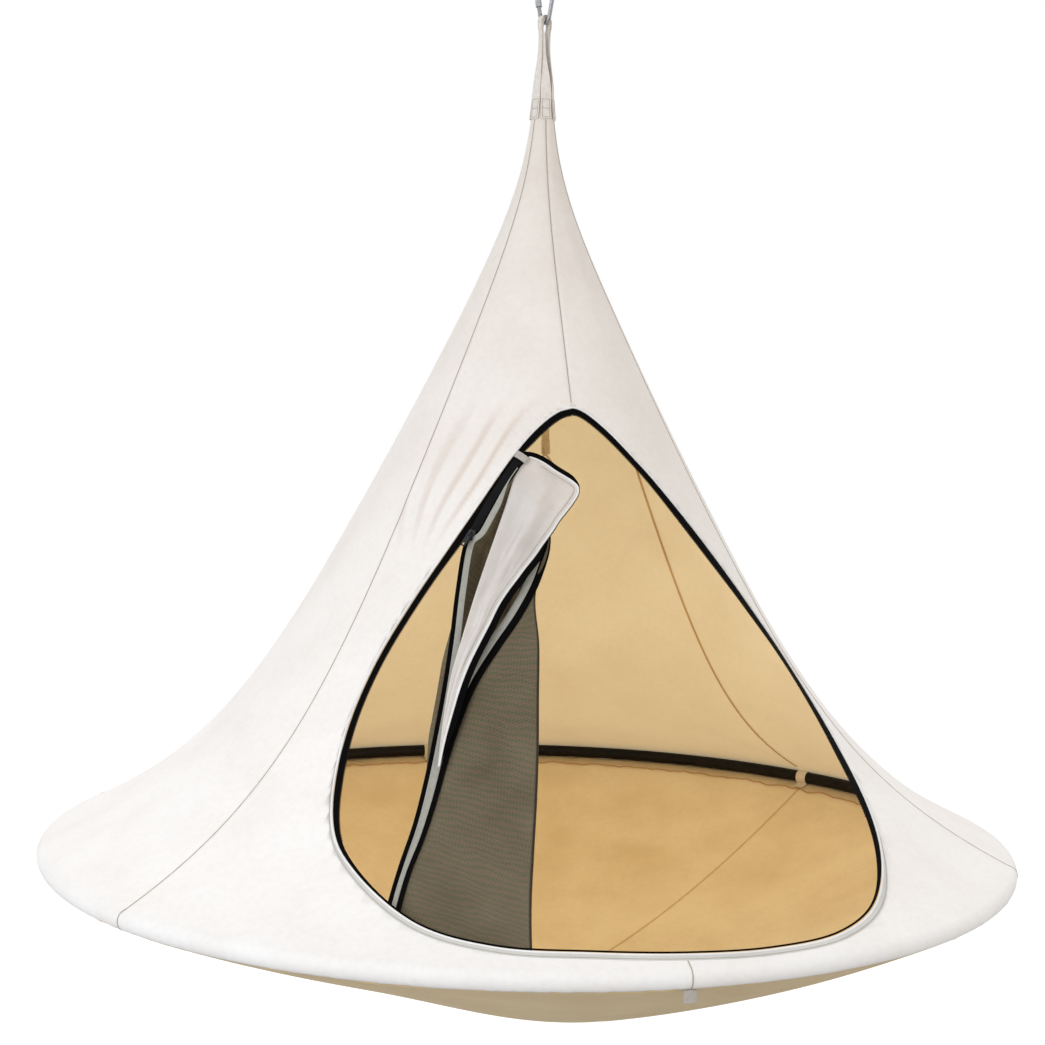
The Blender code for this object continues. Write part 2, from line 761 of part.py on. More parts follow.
LEAF_TOP = beside_tie(LEAF_TOP_REACH, LEAF_TOP_RISE, 0.0020)
LEAF_TIP = from_side([(0.1832, 0.250, 0.030)])[0]
LEAF_FREE_EDGE = [beside_tie(LEAF_TOP_REACH + 0.0118, LEAF_TOP_RISE + 0.0152, 0.014)] + from_side(
    (
        (0.0760, 0.712, 0.022),
        (0.1242, 0.692, 0.030),
        (0.1569, 0.660, 0.032),
        (0.1579, 0.619, 0.032),
        (0.1566, 0.577, 0.030),
        (0.1481, 0.500, 0.030),
        (0.1558, 0.420, 0.030),
        (0.1674, 0.340, 0.030),
        (0.1926, 0.248, 0.030),
    )
)
MESH_TAPE_END = from_side(
    (
        (0.0458, 0.540, 0.012),
        (0.0763, 0.480, 0.036),
        (0.1079, 0.410, 0.052),
        (0.1431, 0.325, 0.058),
        (0.1798, 0.235, 0.060),
        (0.2020, 0.150, 0.054),
        (0.1976, 0.094, 0.038),
    )
)
MESH_RIGHT_FOLD = from_side(
    (
        (0.1104, 0.655, 0.062),
        (0.1674, 0.583, 0.068),
        (0.2008, 0.485, 0.070),
        (0.2489, 0.400, 0.072),
        (0.3007, 0.310, 0.074),
        (0.3526, 0.200, 0.074),
        (0.3870, 0.092, 0.068),
        (0.3888, 0.050, 0.060),
    )
)
MESH_FRONT_EDGE = from_side(
    (
        (0.1087, 0.632, 0.052),
        (0.1572, 0.555, 0.056),
        (0.1774, 0.470, 0.056),
        (0.1769, 0.400, 0.055),
        (0.1819, 0.328, 0.054),
        (0.2007, 0.245, 0.051),
        (0.2169, 0.160, 0.042),
        (0.2105, 0.104, 0.024),
    )
)


def facet_sag(height):
    """How far the flat facets lie inside the round canopy at a height."""
    return canopy_radius(height) * (1 - cos(radians(STEP_ANGLE / 2)))


def door_side_place(height, elevation_inset):
    """A place on a line parallel to the doorway's left side, in the middle of the cloth."""
    x = -side_reach(height, elevation_inset)
    return front_point(x, height) - front_normal(x, height) * (CLOTH / 2)


def surface_acrosses(points, places):
    """Directions across a line that lies in the canopy's surface."""
    normals = [front_normal(place[0], place[1]) for place in places]
    return [way.cross(normal).normalized() for way, normal in zip(ways(points), normals)]


def mesh_tape_line():
    """Middle of the mosquito leaf's zip tape: beside the door's tape, then hanging free."""
    highest, lowest = TIE_HEIGHT + TIE_WIDTH, SLIDER_HEIGHT - SLIDER_LENGTH - 0.003
    heights = [highest + (lowest - highest) * i / 6 for i in range(7)]
    zipped = [door_side_place(height, LEAF_TAPE_MIDDLE) for height in heights]
    places = [(point.x, point.z - RING_Z) for point in zipped]
    loose = smooth_line([front_place(zipped[-2]), front_place(zipped[-1]), *MESH_TAPE_END], 17)
    loose = loose[3:]
    points = zipped + [front_point(*place) for place in loose]
    return points, surface_acrosses(points, places + loose)


def front_place(point):
    """x, height and inset of a point behind the canopy's face."""
    height = point.z - RING_Z
    return (point.x, height, canopy_radius(height) - sqrt(point.x**2 + point.y**2))


def make_door_leaf(tent):
    """The solid outer leaf, which hangs open from its top corner, and its zip tape."""
    top, tip = front_point(*LEAF_TOP), front_point(*LEAF_TIP)
    pivot = add_pivot("door_leaf_axis", Matrix.Translation(top), tent)
    free = smooth_line(LEAF_FREE_EDGE, 19)
    inward = -front_normal(*LEAF_TIP[:2])
    rows = []
    fallen = -LEAF_ROW
    for place in free:
        end = front_point(*place)
        fallen = max(fallen + LEAF_ROW, (end - top).dot((tip - top).normalized()))
        start = top.lerp(tip, fallen / (tip - top).length)
        depth = LEAF_FOLD * min(1.0, fallen / 0.15, (end - start).length / 0.10)
        rows.append(folded_row(start, end, inward, 8, 2, depth))
    add_cloth("door_leaf", rows, "door_cloth", pivot)
    tape = edge_band(rows, EDGE_GAP, LEAF_TAPE_WIDTH)
    add_part("door_leaf_zip", to_mesh(tape, "door_leaf_zip"), "black_tape", pivot)


def make_mesh_leaf(tent):
    """The mosquito leaf, zipped at its upper left and folded over towards the doorway."""
    points, acrosses = mesh_tape_line()
    tape = to_mesh(band(points, acrosses, LEAF_TAPE_WIDTH, TAPE), "mesh_leaf_zip")
    add_part("mesh_leaf_zip", tape, "black_tape", tent)
    aside = LEAF_TAPE_WIDTH / 2 + 1.5 * EDGE_GAP
    left = [point - across * aside for point, across in zip(points, acrosses)][3:]
    fold = [front_point(*place) for place in smooth_line(MESH_RIGHT_FOLD, len(left))]
    places = smooth_line(MESH_FRONT_EDGE, len(left))
    front = [front_point(*place) for place in places]
    rows = []
    for i, (start, turn, end) in enumerate(zip(left, fold, front)):
        outward = front_normal(*places[i][:2])
        depth = MESH_FOLD * min(1.0, i / 4)
        belly = MESH_BELLY * (1 - 0.8 * i / len(left))
        back = folded_row(start, turn, -outward, 7, 2, depth, belly)
        over = turn + (turn - start).normalized() * (MESH_TURN / 2) + outward * (MESH_TURN / 2)
        rows.append([*back, over, *folded_row(turn + outward * MESH_TURN, end, outward, 3)])
    add_cloth("mesh_leaf", rows, "mesh_cloth", tent)
    binding = edge_band(rows, EDGE_GAP, BINDING_WIDTH)
    add_part("mesh_leaf_binding", to_mesh(binding, "mesh_leaf_binding"), "grey_binding", tent)
    tape = edge_band(rows, EDGE_GAP + BINDING_WIDTH + GAP, LEAF_TAPE_WIDTH)
    add_part("mesh_leaf_edge_zip", to_mesh(tape, "mesh_leaf_edge_zip"), "black_tape", tent)


def make_tie_loop(tent):
    """A webbing tie round both tapes where the zipped part ends at the top."""
    clear = facet_sag(TIE_HEIGHT)
    lift = (PIPING_THICKNESS + WEBBING) / 2 + clear
    close = (TAPE + WEBBING) / 2 + clear
    down = Vector((sin(SIDE), cos(SIDE)))
    inside = Vector((cos(SIDE), -sin(SIDE)))
    outline = door_side_place(TIE_HEIGHT, 0.0)
    base = Vector((outline.x, outline.z - RING_Z))
    middle = []
    outward = []
    sewn = (CLOTH + WEBBING) / 2 + clear
    legs = ((-0.013, sewn), (-0.003, lift), (0.005, lift), (0.010, close), (LEAF_TAPE_EDGE, close))
    for sign, stations in ((1, legs), (-1, legs[::-1])):
        for reach, offset in stations:
            x, height = base + inside * reach
            normal = front_normal(x, height)
            centre = front_point(x, height) - normal * (CLOTH / 2)
            middle.append(centre + normal * offset * sign)
            outward.append(normal * sign)
        if sign == 1:
            x, height = base + inside * LEAF_TAPE_EDGE
            normal = front_normal(x, height)
            centre = front_point(x, height) - normal * (CLOTH / 2)
            beyond = front_point(*(base + inside * (LEAF_TAPE_EDGE + 0.001))) - front_point(x, height)
            beyond.normalize()
            for angle in (50, 0, -50):
                way = normal * sin(radians(angle)) + beyond * cos(radians(angle))
                middle.append(centre + way * close)
                outward.append(way)
    upper = front_point(*(base + down * TIE_WIDTH / 2))
    lower = front_point(*(base - down * TIE_WIDTH / 2))
    across = (upper - lower).normalized()
    stations = [
        (point, across, way, TIE_WIDTH / 2, WEBBING / 2) for point, way in zip(middle, outward)
    ]
    add_part("tie_loop", to_mesh(swept_band(stations), "tie_loop"), "pale_webbing", tent)


def frame_matrix(origin, x_way, y_way):
    """A frame from its origin, its X direction and a direction in its XY plane."""
    x_way = x_way.normalized()
    z_way = x_way.cross(y_way).normalized()
    turn = Matrix((x_way, z_way.cross(x_way), z_way)).transposed()
    return Matrix.Translation(origin) @ turn.to_4x4()


def rounded_outline(length, width, radius, shift=0.0, steps=4):
    """A rounded rectangle along Y whose middle is moved by a shift along Y."""
    across, along = width / 2 - radius, length / 2 - radius
    corners = ((across, along, 0), (-across, along, 90), (-across, -along, 180), (across, -along, 270))
    outline = []
    for x, y, start in corners:
        outline += arc((x, y + shift), radius, start, start + 90, steps)
    return outline


def make_zip_slider(tent):
    """The slider that joins the door's tape and the mosquito leaf's, and its hanging pull."""
    place = door_side_place(SLIDER_HEIGHT, ZIP_MIDDLE)
    above = door_side_place(SLIDER_HEIGHT + SLIDER_TRAVEL, ZIP_MIDDLE)
    beside = door_side_place(SLIDER_HEIGHT, ZIP_MIDDLE + SLIDER_WIDTH / 2)
    along = (above - place).normalized()
    normal = (beside - place).cross(along).normalized()
    stand = frame_matrix(place, along.cross(normal), along)
    slides = add_pivot("slider_track", stand, tent)
    top = SLIDER_THICKNESS / 2
    outline = rounded_outline(SLIDER_LENGTH, SLIDER_WIDTH, 0.003)
    slider = add_part(
        "zip_slider", plate_mesh("zip_slider", [outline], SLIDER_THICKNESS), "black_zinc", slides, stand
    )
    crown_height = 2 * TUNNEL_RADIUS + 2 * TUNNEL_WALL
    crown_top = top + crown_height
    hinge_height = top + crown_height / 2
    crown = box_mesh(
        "slider_crown",
        (CROWN_WIDTH, CROWN_LENGTH, crown_height + 0.001),
        (0, 0, (crown_top + top - 0.001) / 2),
    )
    boolean(slider, add_cutter("slider_crown", crown, stand), "UNION")
    post = ZIP_TEETH_GAP - 2 * RUNNING_GAP
    slot_height = TAPE + 2 * (facet_sag(SLIDER_HEIGHT) + SLIDER_SLOT_CLEARANCE)
    for side in (-1, 1):
        slot = box_mesh(
            "slider_slot",
            (SLIDER_WIDTH, 2 * SLIDER_LENGTH, slot_height),
            (side * (SLIDER_WIDTH + post) / 2, 0, 0),
        )
        boolean(slider, add_cutter(f"slider_slot_{(side + 3) // 2}", slot, stand), "DIFFERENCE")
    tunnel = rod_mesh("pull_tunnel", TUNNEL_RADIUS, -CROWN_WIDTH, CROWN_WIDTH, 12)
    tunnel.transform(Matrix.Translation((0, 0, hinge_height)) @ Matrix.Rotation(pi / 2, 4, "Z"))
    boolean(slider, add_cutter("pull_tunnel", tunnel, stand), "DIFFERENCE")
    hinge = stand @ Matrix.Translation((0, 0, hinge_height))
    turns = add_pivot("pull_axis", hinge, slides)
    bar = PULL_THICKNESS / 2
    window_end = sqrt((CROWN_LENGTH / 2) ** 2 + (crown_height / 2) ** 2) + RUNNING_GAP
    outline = rounded_outline(PULL_LENGTH, PULL_WIDTH, 0.003, bar - PULL_LENGTH / 2)
    window = rounded_outline(
        window_end - bar, CROWN_WIDTH + 4 * RUNNING_GAP, 0.0006, -(window_end + bar) / 2, 2
    )
    eyelet = arc((0, bar - PULL_LENGTH + PULL_WIDTH / 2), PULL_WIDTH / 4, 0, 330, 11)
    pull = plate_mesh("zip_pull", [outline, window, eyelet], PULL_THICKNESS)
    add_part("zip_pull", pull, "black_zinc", turns, hinge)


def make_rim_tab(tent):
    """A webbing tab that hangs under the rim from the front seam of the floor."""
    outer = FLOOR_EDGE_RADIUS - GAP
    inner = outer - RIM_TAB_THICKNESS
    top = RING_Z + floor_height(inner) - GAP
    tab = box_mesh(
        "rim_tab",
        (RIM_TAB_WIDTH, RIM_TAB_THICKNESS, RIM_TAB_DROP),
        (0, -(inner + outer) / 2, top - RIM_TAB_DROP / 2),
    )
    add_part("rim_tab", tab, "pale_webbing", tent)


# The carabiner, in its own upright plane with X along the plane and Z up

CARABINER = Matrix.Rotation(radians(CARABINER_AZIMUTH), 4, "Z")
TOP_BOW = (0.0, BAR_RADIUS - TOP_BOW_RADIUS)
LOWER_BOW = (0.0, -CARABINER_INSIDE - BAR_RADIUS + LOWER_BOW_RADIUS)
STRAND_LEAN = asin((TOP_BOW_RADIUS - LOWER_BOW_RADIUS) / (TOP_BOW[1] - LOWER_BOW[1]))
STRAND_START = Vector(
    (
        -LOWER_BOW_RADIUS * cos(STRAND_LEAN),
        0.0,
        LOWER_BOW[1] - LOWER_BOW_RADIUS * sin(STRAND_LEAN),
    )
)
STRAND_LENGTH = (TOP_BOW[1] - LOWER_BOW[1]) * cos(STRAND_LEAN)
STRAND_WAY = Vector((-sin(STRAND_LEAN), 0.0, cos(STRAND_LEAN)))
LOWER_BAR_Z = LOWER_BOW[1] - LOWER_BOW_RADIUS
GATE_PIVOT_UP = BAR_RADIUS + NOSE_GAP + SHOULDER_ABOVE_BOW
GATE_PIVOT = STRAND_START + STRAND_WAY * GATE_PIVOT_UP
# The gate's frame: X into the carabiner, Y up the gate, origin on the gate's pin
GATE = CARABINER @ frame_matrix(GATE_PIVOT, Vector((cos(STRAND_LEAN), 0, sin(STRAND_LEAN))), STRAND_WAY)
NOSE = STRAND_LENGTH - GATE_PIVOT_UP - NOSE_LENGTH
GATE_TIP = NOSE - NOSE_GAP
TONGUE_RADIUS = 0.85 * BAR_RADIUS
SHOULDER = -BAR_RADIUS - NOSE_GAP
FORK_END = TONGUE_RADIUS + 3 * RUNNING_GAP


def make_carabiner():
    """The fixed body with its nose and hinge tongue, and the gate's pin."""
    lean = degrees(STRAND_LEAN)
    top = arc(TOP_BOW, TOP_BOW_RADIUS, 180 + lean, -lean, 16)
    lower = arc(LOWER_BOW, LOWER_BOW_RADIUS, -lean, -180 + lean, 12)
    start = GATE_PIVOT + STRAND_WAY * NOSE
    end = GATE_PIVOT + STRAND_WAY * SHOULDER
    path = [start, *[Vector((x, 0, z)) for x, z in top + lower], end]
    body = add_part(
        "carabiner_body", bar_mesh("carabiner_body", path, BAR_RADIUS, 6), "steel", None, CARABINER
    )
    outline = arc((0, 0), TONGUE_RADIUS, 0, 180, 10)
    foot = SHOULDER - BAR_RADIUS / 2
    outline += [(-TONGUE_RADIUS, foot), (TONGUE_RADIUS, foot)]
    tongue = plate_mesh("hinge_tongue", [outline], GATE_TONGUE)
    boolean(body, add_cutter("hinge_tongue", tongue, GATE), "UNION")
    pin_hole = pin_rod("body_pin_hole", RUNNING_GAP / 2, 1.5)
    boolean(body, add_cutter("body_pin_hole", pin_hole, GATE), "DIFFERENCE")
    inner = LATCH_STOP_WALL - BAR_RADIUS
    slot = box_mesh(
        "nose_slot",
        (2 * BAR_RADIUS, 2 * (LATCH_REACH + NOSE_GAP), LATCH_TONGUE + 2 * RUNNING_GAP),
        (inner + BAR_RADIUS, NOSE, 0),
    )
    boolean(body, add_cutter("nose_slot", slot, GATE), "DIFFERENCE")
    add_part("gate_pin", pin_rod("gate_pin", 0.0, 0.98), "steel", None, GATE)


def pin_rod(name, clearance, length):
    """The gate's pin or its hole: a rod across the carabiner, its length in bar widths."""
    rod = rod_mesh(name, GATE_PIN_RADIUS + clearance, -BAR_RADIUS * length, BAR_RADIUS * length)
    rod.transform(Matrix.Rotation(pi / 2, 4, "X"))
    return rod


def make_gate():
    """The gate with its fork and latch tongue, its plunger and its return spring."""
    pivot = add_pivot("gate_axis", GATE, None)
    gate = add_part(
        "carabiner_gate", rod_mesh("carabiner_gate", BAR_RADIUS, -BAR_RADIUS, GATE_TIP), "steel", pivot, GATE
    )
    wide = BAR_RADIUS + 0.001
    outline = arc((0, 0), BAR_RADIUS, 180, 360, 10)
    outline += [(wide, 0), (wide, 2 * NOSE), (-wide, 2 * NOSE), (-wide, 0)]
    round_end = plate_mesh("gate_round_end", [outline], 4 * BAR_RADIUS)
    boolean(gate, add_cutter("gate_round_end", round_end, GATE), "INTERSECT")
    latch_outer = LATCH_STOP_WALL - BAR_RADIUS + RUNNING_GAP
    latch_inner = 0.8 * BAR_RADIUS
    latch = box_mesh(
        "latch_tongue",
        (latch_inner - latch_outer, LATCH_REACH + BAR_RADIUS, LATCH_TONGUE),
        ((latch_inner + latch_outer) / 2, GATE_TIP + (LATCH_REACH - BAR_RADIUS) / 2, 0),
    )
    boolean(gate, add_cutter("latch_tongue", latch, GATE), "UNION")
    fork = box_mesh(
        "fork_slot",
        (4 * BAR_RADIUS, FORK_END + 2 * BAR_RADIUS, GATE_TONGUE + 2 * RUNNING_GAP),
        (0, (FORK_END - 2 * BAR_RADIUS) / 2, 0),
    )
    boolean(gate, add_cutter("fork_slot", fork, GATE), "DIFFERENCE")
    pin_hole = pin_rod("gate_pin_hole", RUNNING_GAP / 2, 1.5)
    boolean(gate, add_cutter("gate_pin_hole", pin_hole, GATE), "DIFFERENCE")
    plunger_start = TONGUE_RADIUS + RUNNING_GAP
    spring_start = plunger_start + PLUNGER_LENGTH + RUNNING_GAP + SPRING_WIRE_RADIUS
    bore_end = spring_start + SPRING_LENGTH + SPRING_WIRE_RADIUS + RUNNING_GAP
    bore = rod_mesh("spring_bore", SPRING_BORE_RADIUS, FORK_END - BAR_RADIUS, bore_end)
    boolean(gate, add_cutter("spring_bore", bore, GATE), "DIFFERENCE")
    plunger = rod_mesh(
        "gate_plunger", SPRING_BORE_RADIUS - RUNNING_GAP, plunger_start, plunger_start + PLUNGER_LENGTH, 12
    )
    add_part("gate_plunger", plunger, "steel", pivot, GATE)
    coil = SPRING_BORE_RADIUS - RUNNING_GAP - SPRING_WIRE_RADIUS
    points = []
    for i in range(SPRING_TURNS * 9 + 1):
        angle = 2 * pi * i / 9
        rise = spring_start + SPRING_LENGTH * i / (SPRING_TURNS * 9)
        points.append((coil * cos(angle), rise, coil * sin(angle)))
    spring = bar_mesh("gate_spring", points, SPRING_WIRE_RADIUS, 1)
    add_part("gate_spring", spring, "bare_aluminium", pivot, GATE)


def make_lock_sleeve():
    """The knurled sleeve on the gate, shown in its open place below the nose."""
    slides = add_pivot("sleeve_track", GATE, bpy.data.objects["gate_axis"])
    top = GATE_TIP - NOSE_GAP
    outline = []
    for i in range(SLEEVE_KNURLS):
        for half, depth in ((0.0, 0.0), (0.5, KNURL_DEPTH)):
            angle = 2 * pi * (i + half) / SLEEVE_KNURLS
            outline.append(((SLEEVE_RADIUS - depth) * cos(angle), (SLEEVE_RADIUS - depth) * sin(angle)))
    bore = arc((0, 0), BAR_RADIUS + RUNNING_GAP, 0, 345, 23)
    sleeve = plate_mesh("lock_sleeve", [outline, bore], SLEEVE_LENGTH)
    stand = Matrix.Translation((0, top - SLEEVE_LENGTH / 2, 0)) @ Matrix.Rotation(-pi / 2, 4, "X")
    sleeve.transform(stand)
    add_part("lock_sleeve", sleeve, "bare_aluminium", slides, GATE)


# Neck straps: stations down one side of a loop, in the carabiner's frame


def eased(t):
    """Runs from 0 to 1 with a soft start and a soft end."""
    t = min(max(t, 0.0), 1.0)
    return t * t * (3 - 2 * t)


def leg_stations(order):
    """Stations of one strap from the bar's height down to its seam, first loop innermost."""
    rise = LOWER_BOW_RADIUS - sqrt((LOWER_BOW_RADIUS - BAR_RADIUS) ** 2 - (FOLDED_WIDTH / 2) ** 2)
    out = rise + RUNNING_GAP + FOLDED_THICKNESS / 2 + order * (FOLDED_THICKNESS + GAP)
    top, foot = LOWER_BAR_Z, RING_Z + CANOPY_RISE + STRAP_LAP
    aside = (FOLDED_WIDTH / 2 + GAP + 0.0001) * (1, -1, 0)[order]
    turn = radians(GORE_ANGLE) * (1, -1, 0)[order]
    rest = canopy_radius(CANOPY_RISE + STRAP_LAP) + GAP + WEBBING / 2
    stations = []
    for i in range(11):
        t = i / 10
        spread = eased((t - SPREAD_FROM) / (1 - SPREAD_FROM))
        angle = turn * spread
        start = Vector((aside * eased(t / SPREAD_FROM), out))
        place = start.lerp(Vector((sin(turn), cos(turn))) * rest, spread)
        centre = Vector((place.x, place.y, top + (foot - top) * t))
        half_width = (FOLDED_WIDTH + (STRAP_WIDTH - FOLDED_WIDTH) * spread) / 2
        half_thick = (FOLDED_THICKNESS + (WEBBING - FOLDED_THICKNESS) * spread) / 2
        across = Vector((cos(angle), -sin(angle), 0))
        outward = Vector((sin(angle), cos(angle), 0))
        stations.append((centre, across, outward, half_width, half_thick))
    across, outward = stations[-1][1:3]
    for i in (1, 2):
        height = CANOPY_RISE + STRAP_LAP * (1 - i / 2)
        centre = outward * (canopy_radius(height) + GAP + WEBBING / 2)
        centre.z = RING_Z + height
        stations.append((centre, across, outward, STRAP_WIDTH / 2, WEBBING / 2))
    return stations


def make_neck_straps(tent):
    """Three straps that loop over the carabiner's bar, each down to two opposite seams."""
    half_turn = Matrix.Rotation(pi, 3, "Z")
    for order in range(GORES // 2):
        leg = leg_stations(order)
        out = leg[0][0].y
        over = []
        for i in range(1, 8):
            angle = pi * i / 8
            way = Vector((0, cos(angle), sin(angle)))
            centre = Vector((0, 0, LOWER_BAR_Z)) + way * out
            over.append((centre, Vector((1, 0, 0)), way, FOLDED_WIDTH / 2, FOLDED_THICKNESS / 2))
        other = [
            (half_turn @ centre, -(half_turn @ across), half_turn @ outward, wide, thick)
            for centre, across, outward, wide, thick in leg
        ]
        stations = leg[::-1] + over + other
        mesh = to_mesh(swept_band(stations), f"neck_strap_{order + 1}")
        add_part(f"neck_strap_{order + 1}", mesh, "pale_webbing", tent, CARABINER)


def make_inner_strap(tent):
    """The strap that hangs from the back of the neck down into the tent, with its loop."""
    top = Vector((0.0, INNER_STRAP_BACK, RING_Z + CANOPY_RISE + STRAP_LAP))
    pivot = add_pivot("inner_strap_axis", Matrix.Translation(top), tent)
    knot = INNER_STRAP_LENGTH
    twist_start = knot - 0.080
    points, acrosses = [], []
    for drop in (0.0, 0.3 * knot, 0.6 * knot, twist_start):
        points.append(Vector((0, 0, -drop)))
        acrosses.append(Vector((1, 0, 0)))
    for i in range(1, 7):
        angle = pi / 2 * i / 6
        points.append(Vector((0, 0, -twist_start - (knot - 0.015 - twist_start) * i / 6)))
        acrosses.append(Vector((cos(angle), sin(angle), 0)))
    half, long, beside = INNER_LOOP_WIDTH / 2, INNER_LOOP_LENGTH, -TAPE - 2 * GAP
    loop = (
        (0.0, 0.0), (0.55 * half, -0.22 * long), (half, -0.55 * long), (0.72 * half, -0.87 * long),
        (0.0, -long), (-0.72 * half, -0.87 * long), (-half, -0.55 * long),
        (0.55 * -half + beside, -0.22 * long), (beside, 0.0), (beside, 0.010),
    )
    for x, z in smooth_line(loop, 3 * len(loop) - 2):
        points.append(Vector((x, 0, z - knot)))
        acrosses.append(Vector((0, 1, 0)))
    points = [point + top for point in points]
    mesh = to_mesh(band(points, acrosses, INNER_STRAP_WIDTH, TAPE), "inner_hanging_strap")
    add_part("inner_hanging_strap", mesh, "pale_webbing", pivot)


clear_scene()
new_collection("hanging_tent")
new_collection("cutters")
swing = add_pivot("tent_swing_axis", Matrix.Translation((0, 0, LOWER_BAR_Z)) @ CARABINER, None)
make_canopy(swing)
make_floor(swing)
make_ring(swing)
make_door_edges(swing)
make_door_leaf(swing)
make_mesh_leaf(swing)
make_tie_loop(swing)
make_zip_slider(swing)
make_rim_tab(swing)
make_carabiner()
make_gate()
make_lock_sleeve()
make_neck_straps(swing)
make_inner_strap(swing)
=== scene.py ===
"""Looks of a hanging tent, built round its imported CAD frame.

A white canopy and a beige bowl are sewn round a ring of black tubes. The tent hangs by
webbing loops from a screw-gate carabiner, and its zipped door leaves are tied back at the
left of the doorway. Everything is in metres in the frame's own axes: +Z up, doorway to -Y,
azimuths in degrees about +Z from -Y, positive towards +X. Heights are above the ring's plane.
"""

import logging
from collections.abc import Callable, Mapping, Sequence
from dataclasses import dataclass, field
from enum import Enum
from functools import cached_property
from itertools import accumulate
from math import cos, degrees, dist, exp, hypot, pi, radians, sin, sqrt, tan

import bmesh
import bpy
from bmesh.types import BMEdge, BMesh, BMVert
from bpy.types import ID, Material, Mesh, Node, NodeSocket, NodeTree, Object
from mathutils import Matrix, Vector, noise


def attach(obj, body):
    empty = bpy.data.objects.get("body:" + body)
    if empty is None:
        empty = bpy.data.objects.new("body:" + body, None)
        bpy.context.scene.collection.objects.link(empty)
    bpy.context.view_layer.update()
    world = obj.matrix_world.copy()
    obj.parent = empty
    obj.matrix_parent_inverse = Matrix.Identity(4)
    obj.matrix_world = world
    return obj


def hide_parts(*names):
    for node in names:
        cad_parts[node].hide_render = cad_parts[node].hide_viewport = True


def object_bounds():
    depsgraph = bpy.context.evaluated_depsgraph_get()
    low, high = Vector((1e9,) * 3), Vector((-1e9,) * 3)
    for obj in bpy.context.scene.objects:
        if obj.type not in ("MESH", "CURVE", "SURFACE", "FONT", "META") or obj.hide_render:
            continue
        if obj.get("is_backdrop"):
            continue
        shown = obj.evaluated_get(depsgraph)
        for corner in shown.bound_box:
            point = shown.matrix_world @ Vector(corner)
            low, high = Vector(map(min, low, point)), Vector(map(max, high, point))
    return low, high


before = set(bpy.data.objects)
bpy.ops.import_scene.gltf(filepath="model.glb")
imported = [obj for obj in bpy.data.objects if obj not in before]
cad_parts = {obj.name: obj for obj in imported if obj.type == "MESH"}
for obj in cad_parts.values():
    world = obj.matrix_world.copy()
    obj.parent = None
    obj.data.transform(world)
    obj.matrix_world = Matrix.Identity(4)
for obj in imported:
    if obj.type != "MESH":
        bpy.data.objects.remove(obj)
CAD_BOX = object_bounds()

LOG = logging.getLogger("hanging_tent")
TENT = "tent"
CLOTH_COORDINATES = "cloth"
# Share of a band's thickness that each of its rounded edges takes
EDGE_ROUNDING = 0.42
WHITE = "FFFFFF"
UP = Vector((0.0, 0.0, 1.0))
RIGHT = Vector((1.0, 0.0, 0.0))

Place = tuple[float, float, float]
Spot = tuple[float, float]


class Ray(Enum):
    """Kinds of ray that see the plain white surroundings."""

    CAMERA = "Is Camera Ray"
    GLOSSY = "Is Glossy Ray"
    TRANSMISSION = "Is Transmission Ray"


def linear(hex_colour: str) -> tuple[float, float, float, float]:
    """Turns an sRGB hex value into a linear colour.

    Args:
        hex_colour: Six hex digits.

    Returns:
        Red, green, blue and an alpha of 1.
    """
    channels = [int(hex_colour[i : i + 2], 16) / 255 for i in (0, 2, 4)]
    flat = [c / 12.92 if c <= 0.04045 else ((c + 0.055) / 1.055) ** 2.4 for c in channels]
    return (*flat, 1.0)


def add_node(
    tree: NodeTree, kind: str, settings: dict | None = None, links: dict | None = None
) -> Mapping[str, NodeSocket]:
    """Adds a node to a tree with its settings and links.

    Args:
        tree: The node tree.
        kind: The node's type name without ShaderNode.
        settings: Values by name. A name with a capital or a number is an input socket, and
            stops are a colour ramp's places and hex colours.
        links: Output sockets by the input socket that each of them feeds.

    Returns:
        The new node's outputs.
    """
    node = tree.nodes.new(f"ShaderNode{kind}")
    for key, value in (settings or {}).items():
        if key == "stops":
            for stop, (position, hex_colour) in zip(node.color_ramp.elements, value):
                stop.position = position
                stop.color = linear(hex_colour)
        elif isinstance(key, int) or key[0].isupper():
            node.inputs[key].default_value = value
        else:
            setattr(node, key, value)
    for key, socket in (links or {}).items():
        tree.links.new(socket, node.inputs[key])
    return node.outputs


def eased(t: float) -> float:
    """Runs from 0 to 1 with a soft start and a soft end."""
    t = min(max(t, 0.0), 1.0)
    return t * t * (3 - 2 * t)


def noisy(x: float, y: float, z: float) -> float:
    """Smooth unevenness at a place, from -1 to 1 and the same at each run."""
    return noise.noise(Vector((x, y, z)))


def only(kind: type, geom: Sequence) -> list:
    """The items of one kind in an operator's result."""
    return [item for item in geom if isinstance(item, kind)]


def run_lengths(line: Sequence[Sequence[float]]) -> list[float]:
    """How far along a line each of its points lies."""
    return list(accumulate(map(dist, line, line[1:]), initial=0.0))


def smooth_line(points: Sequence[Place], count: int) -> list[Place]:
    """Evenly numbered places on a smooth curve through the given ones.

    Args:
        points: The places that the curve passes.
        count: How many places to give back.

    Returns:
        The places on the curve, ends included.
    """
    line = []
    for i in range(count):
        place = (len(points) - 1) * i / (count - 1)
        start = min(int(place), len(points) - 2)
        t = place - start
        near = (points[max(start - 1, 0)], points[start], points[start + 1])
        far = points[min(start + 2, len(points) - 1)]
        line.append(
            tuple(
                b + t * (c - a) / 2 + t * t * (a - 2.5 * b + 2 * c - d / 2)
                + t * t * t * (1.5 * (b - c) + (d - a) / 2)
                for a, b, c, d in zip(*near, far)
            )
        )
    return line


def ways(points: Sequence[Vector]) -> list[Vector]:
    """The direction of a line at each of its points."""
    last = len(points) - 1
    return [
        (points[min(i + 1, last)] - points[max(i - 1, 0)]).normalized() for i in range(last + 1)
    ]


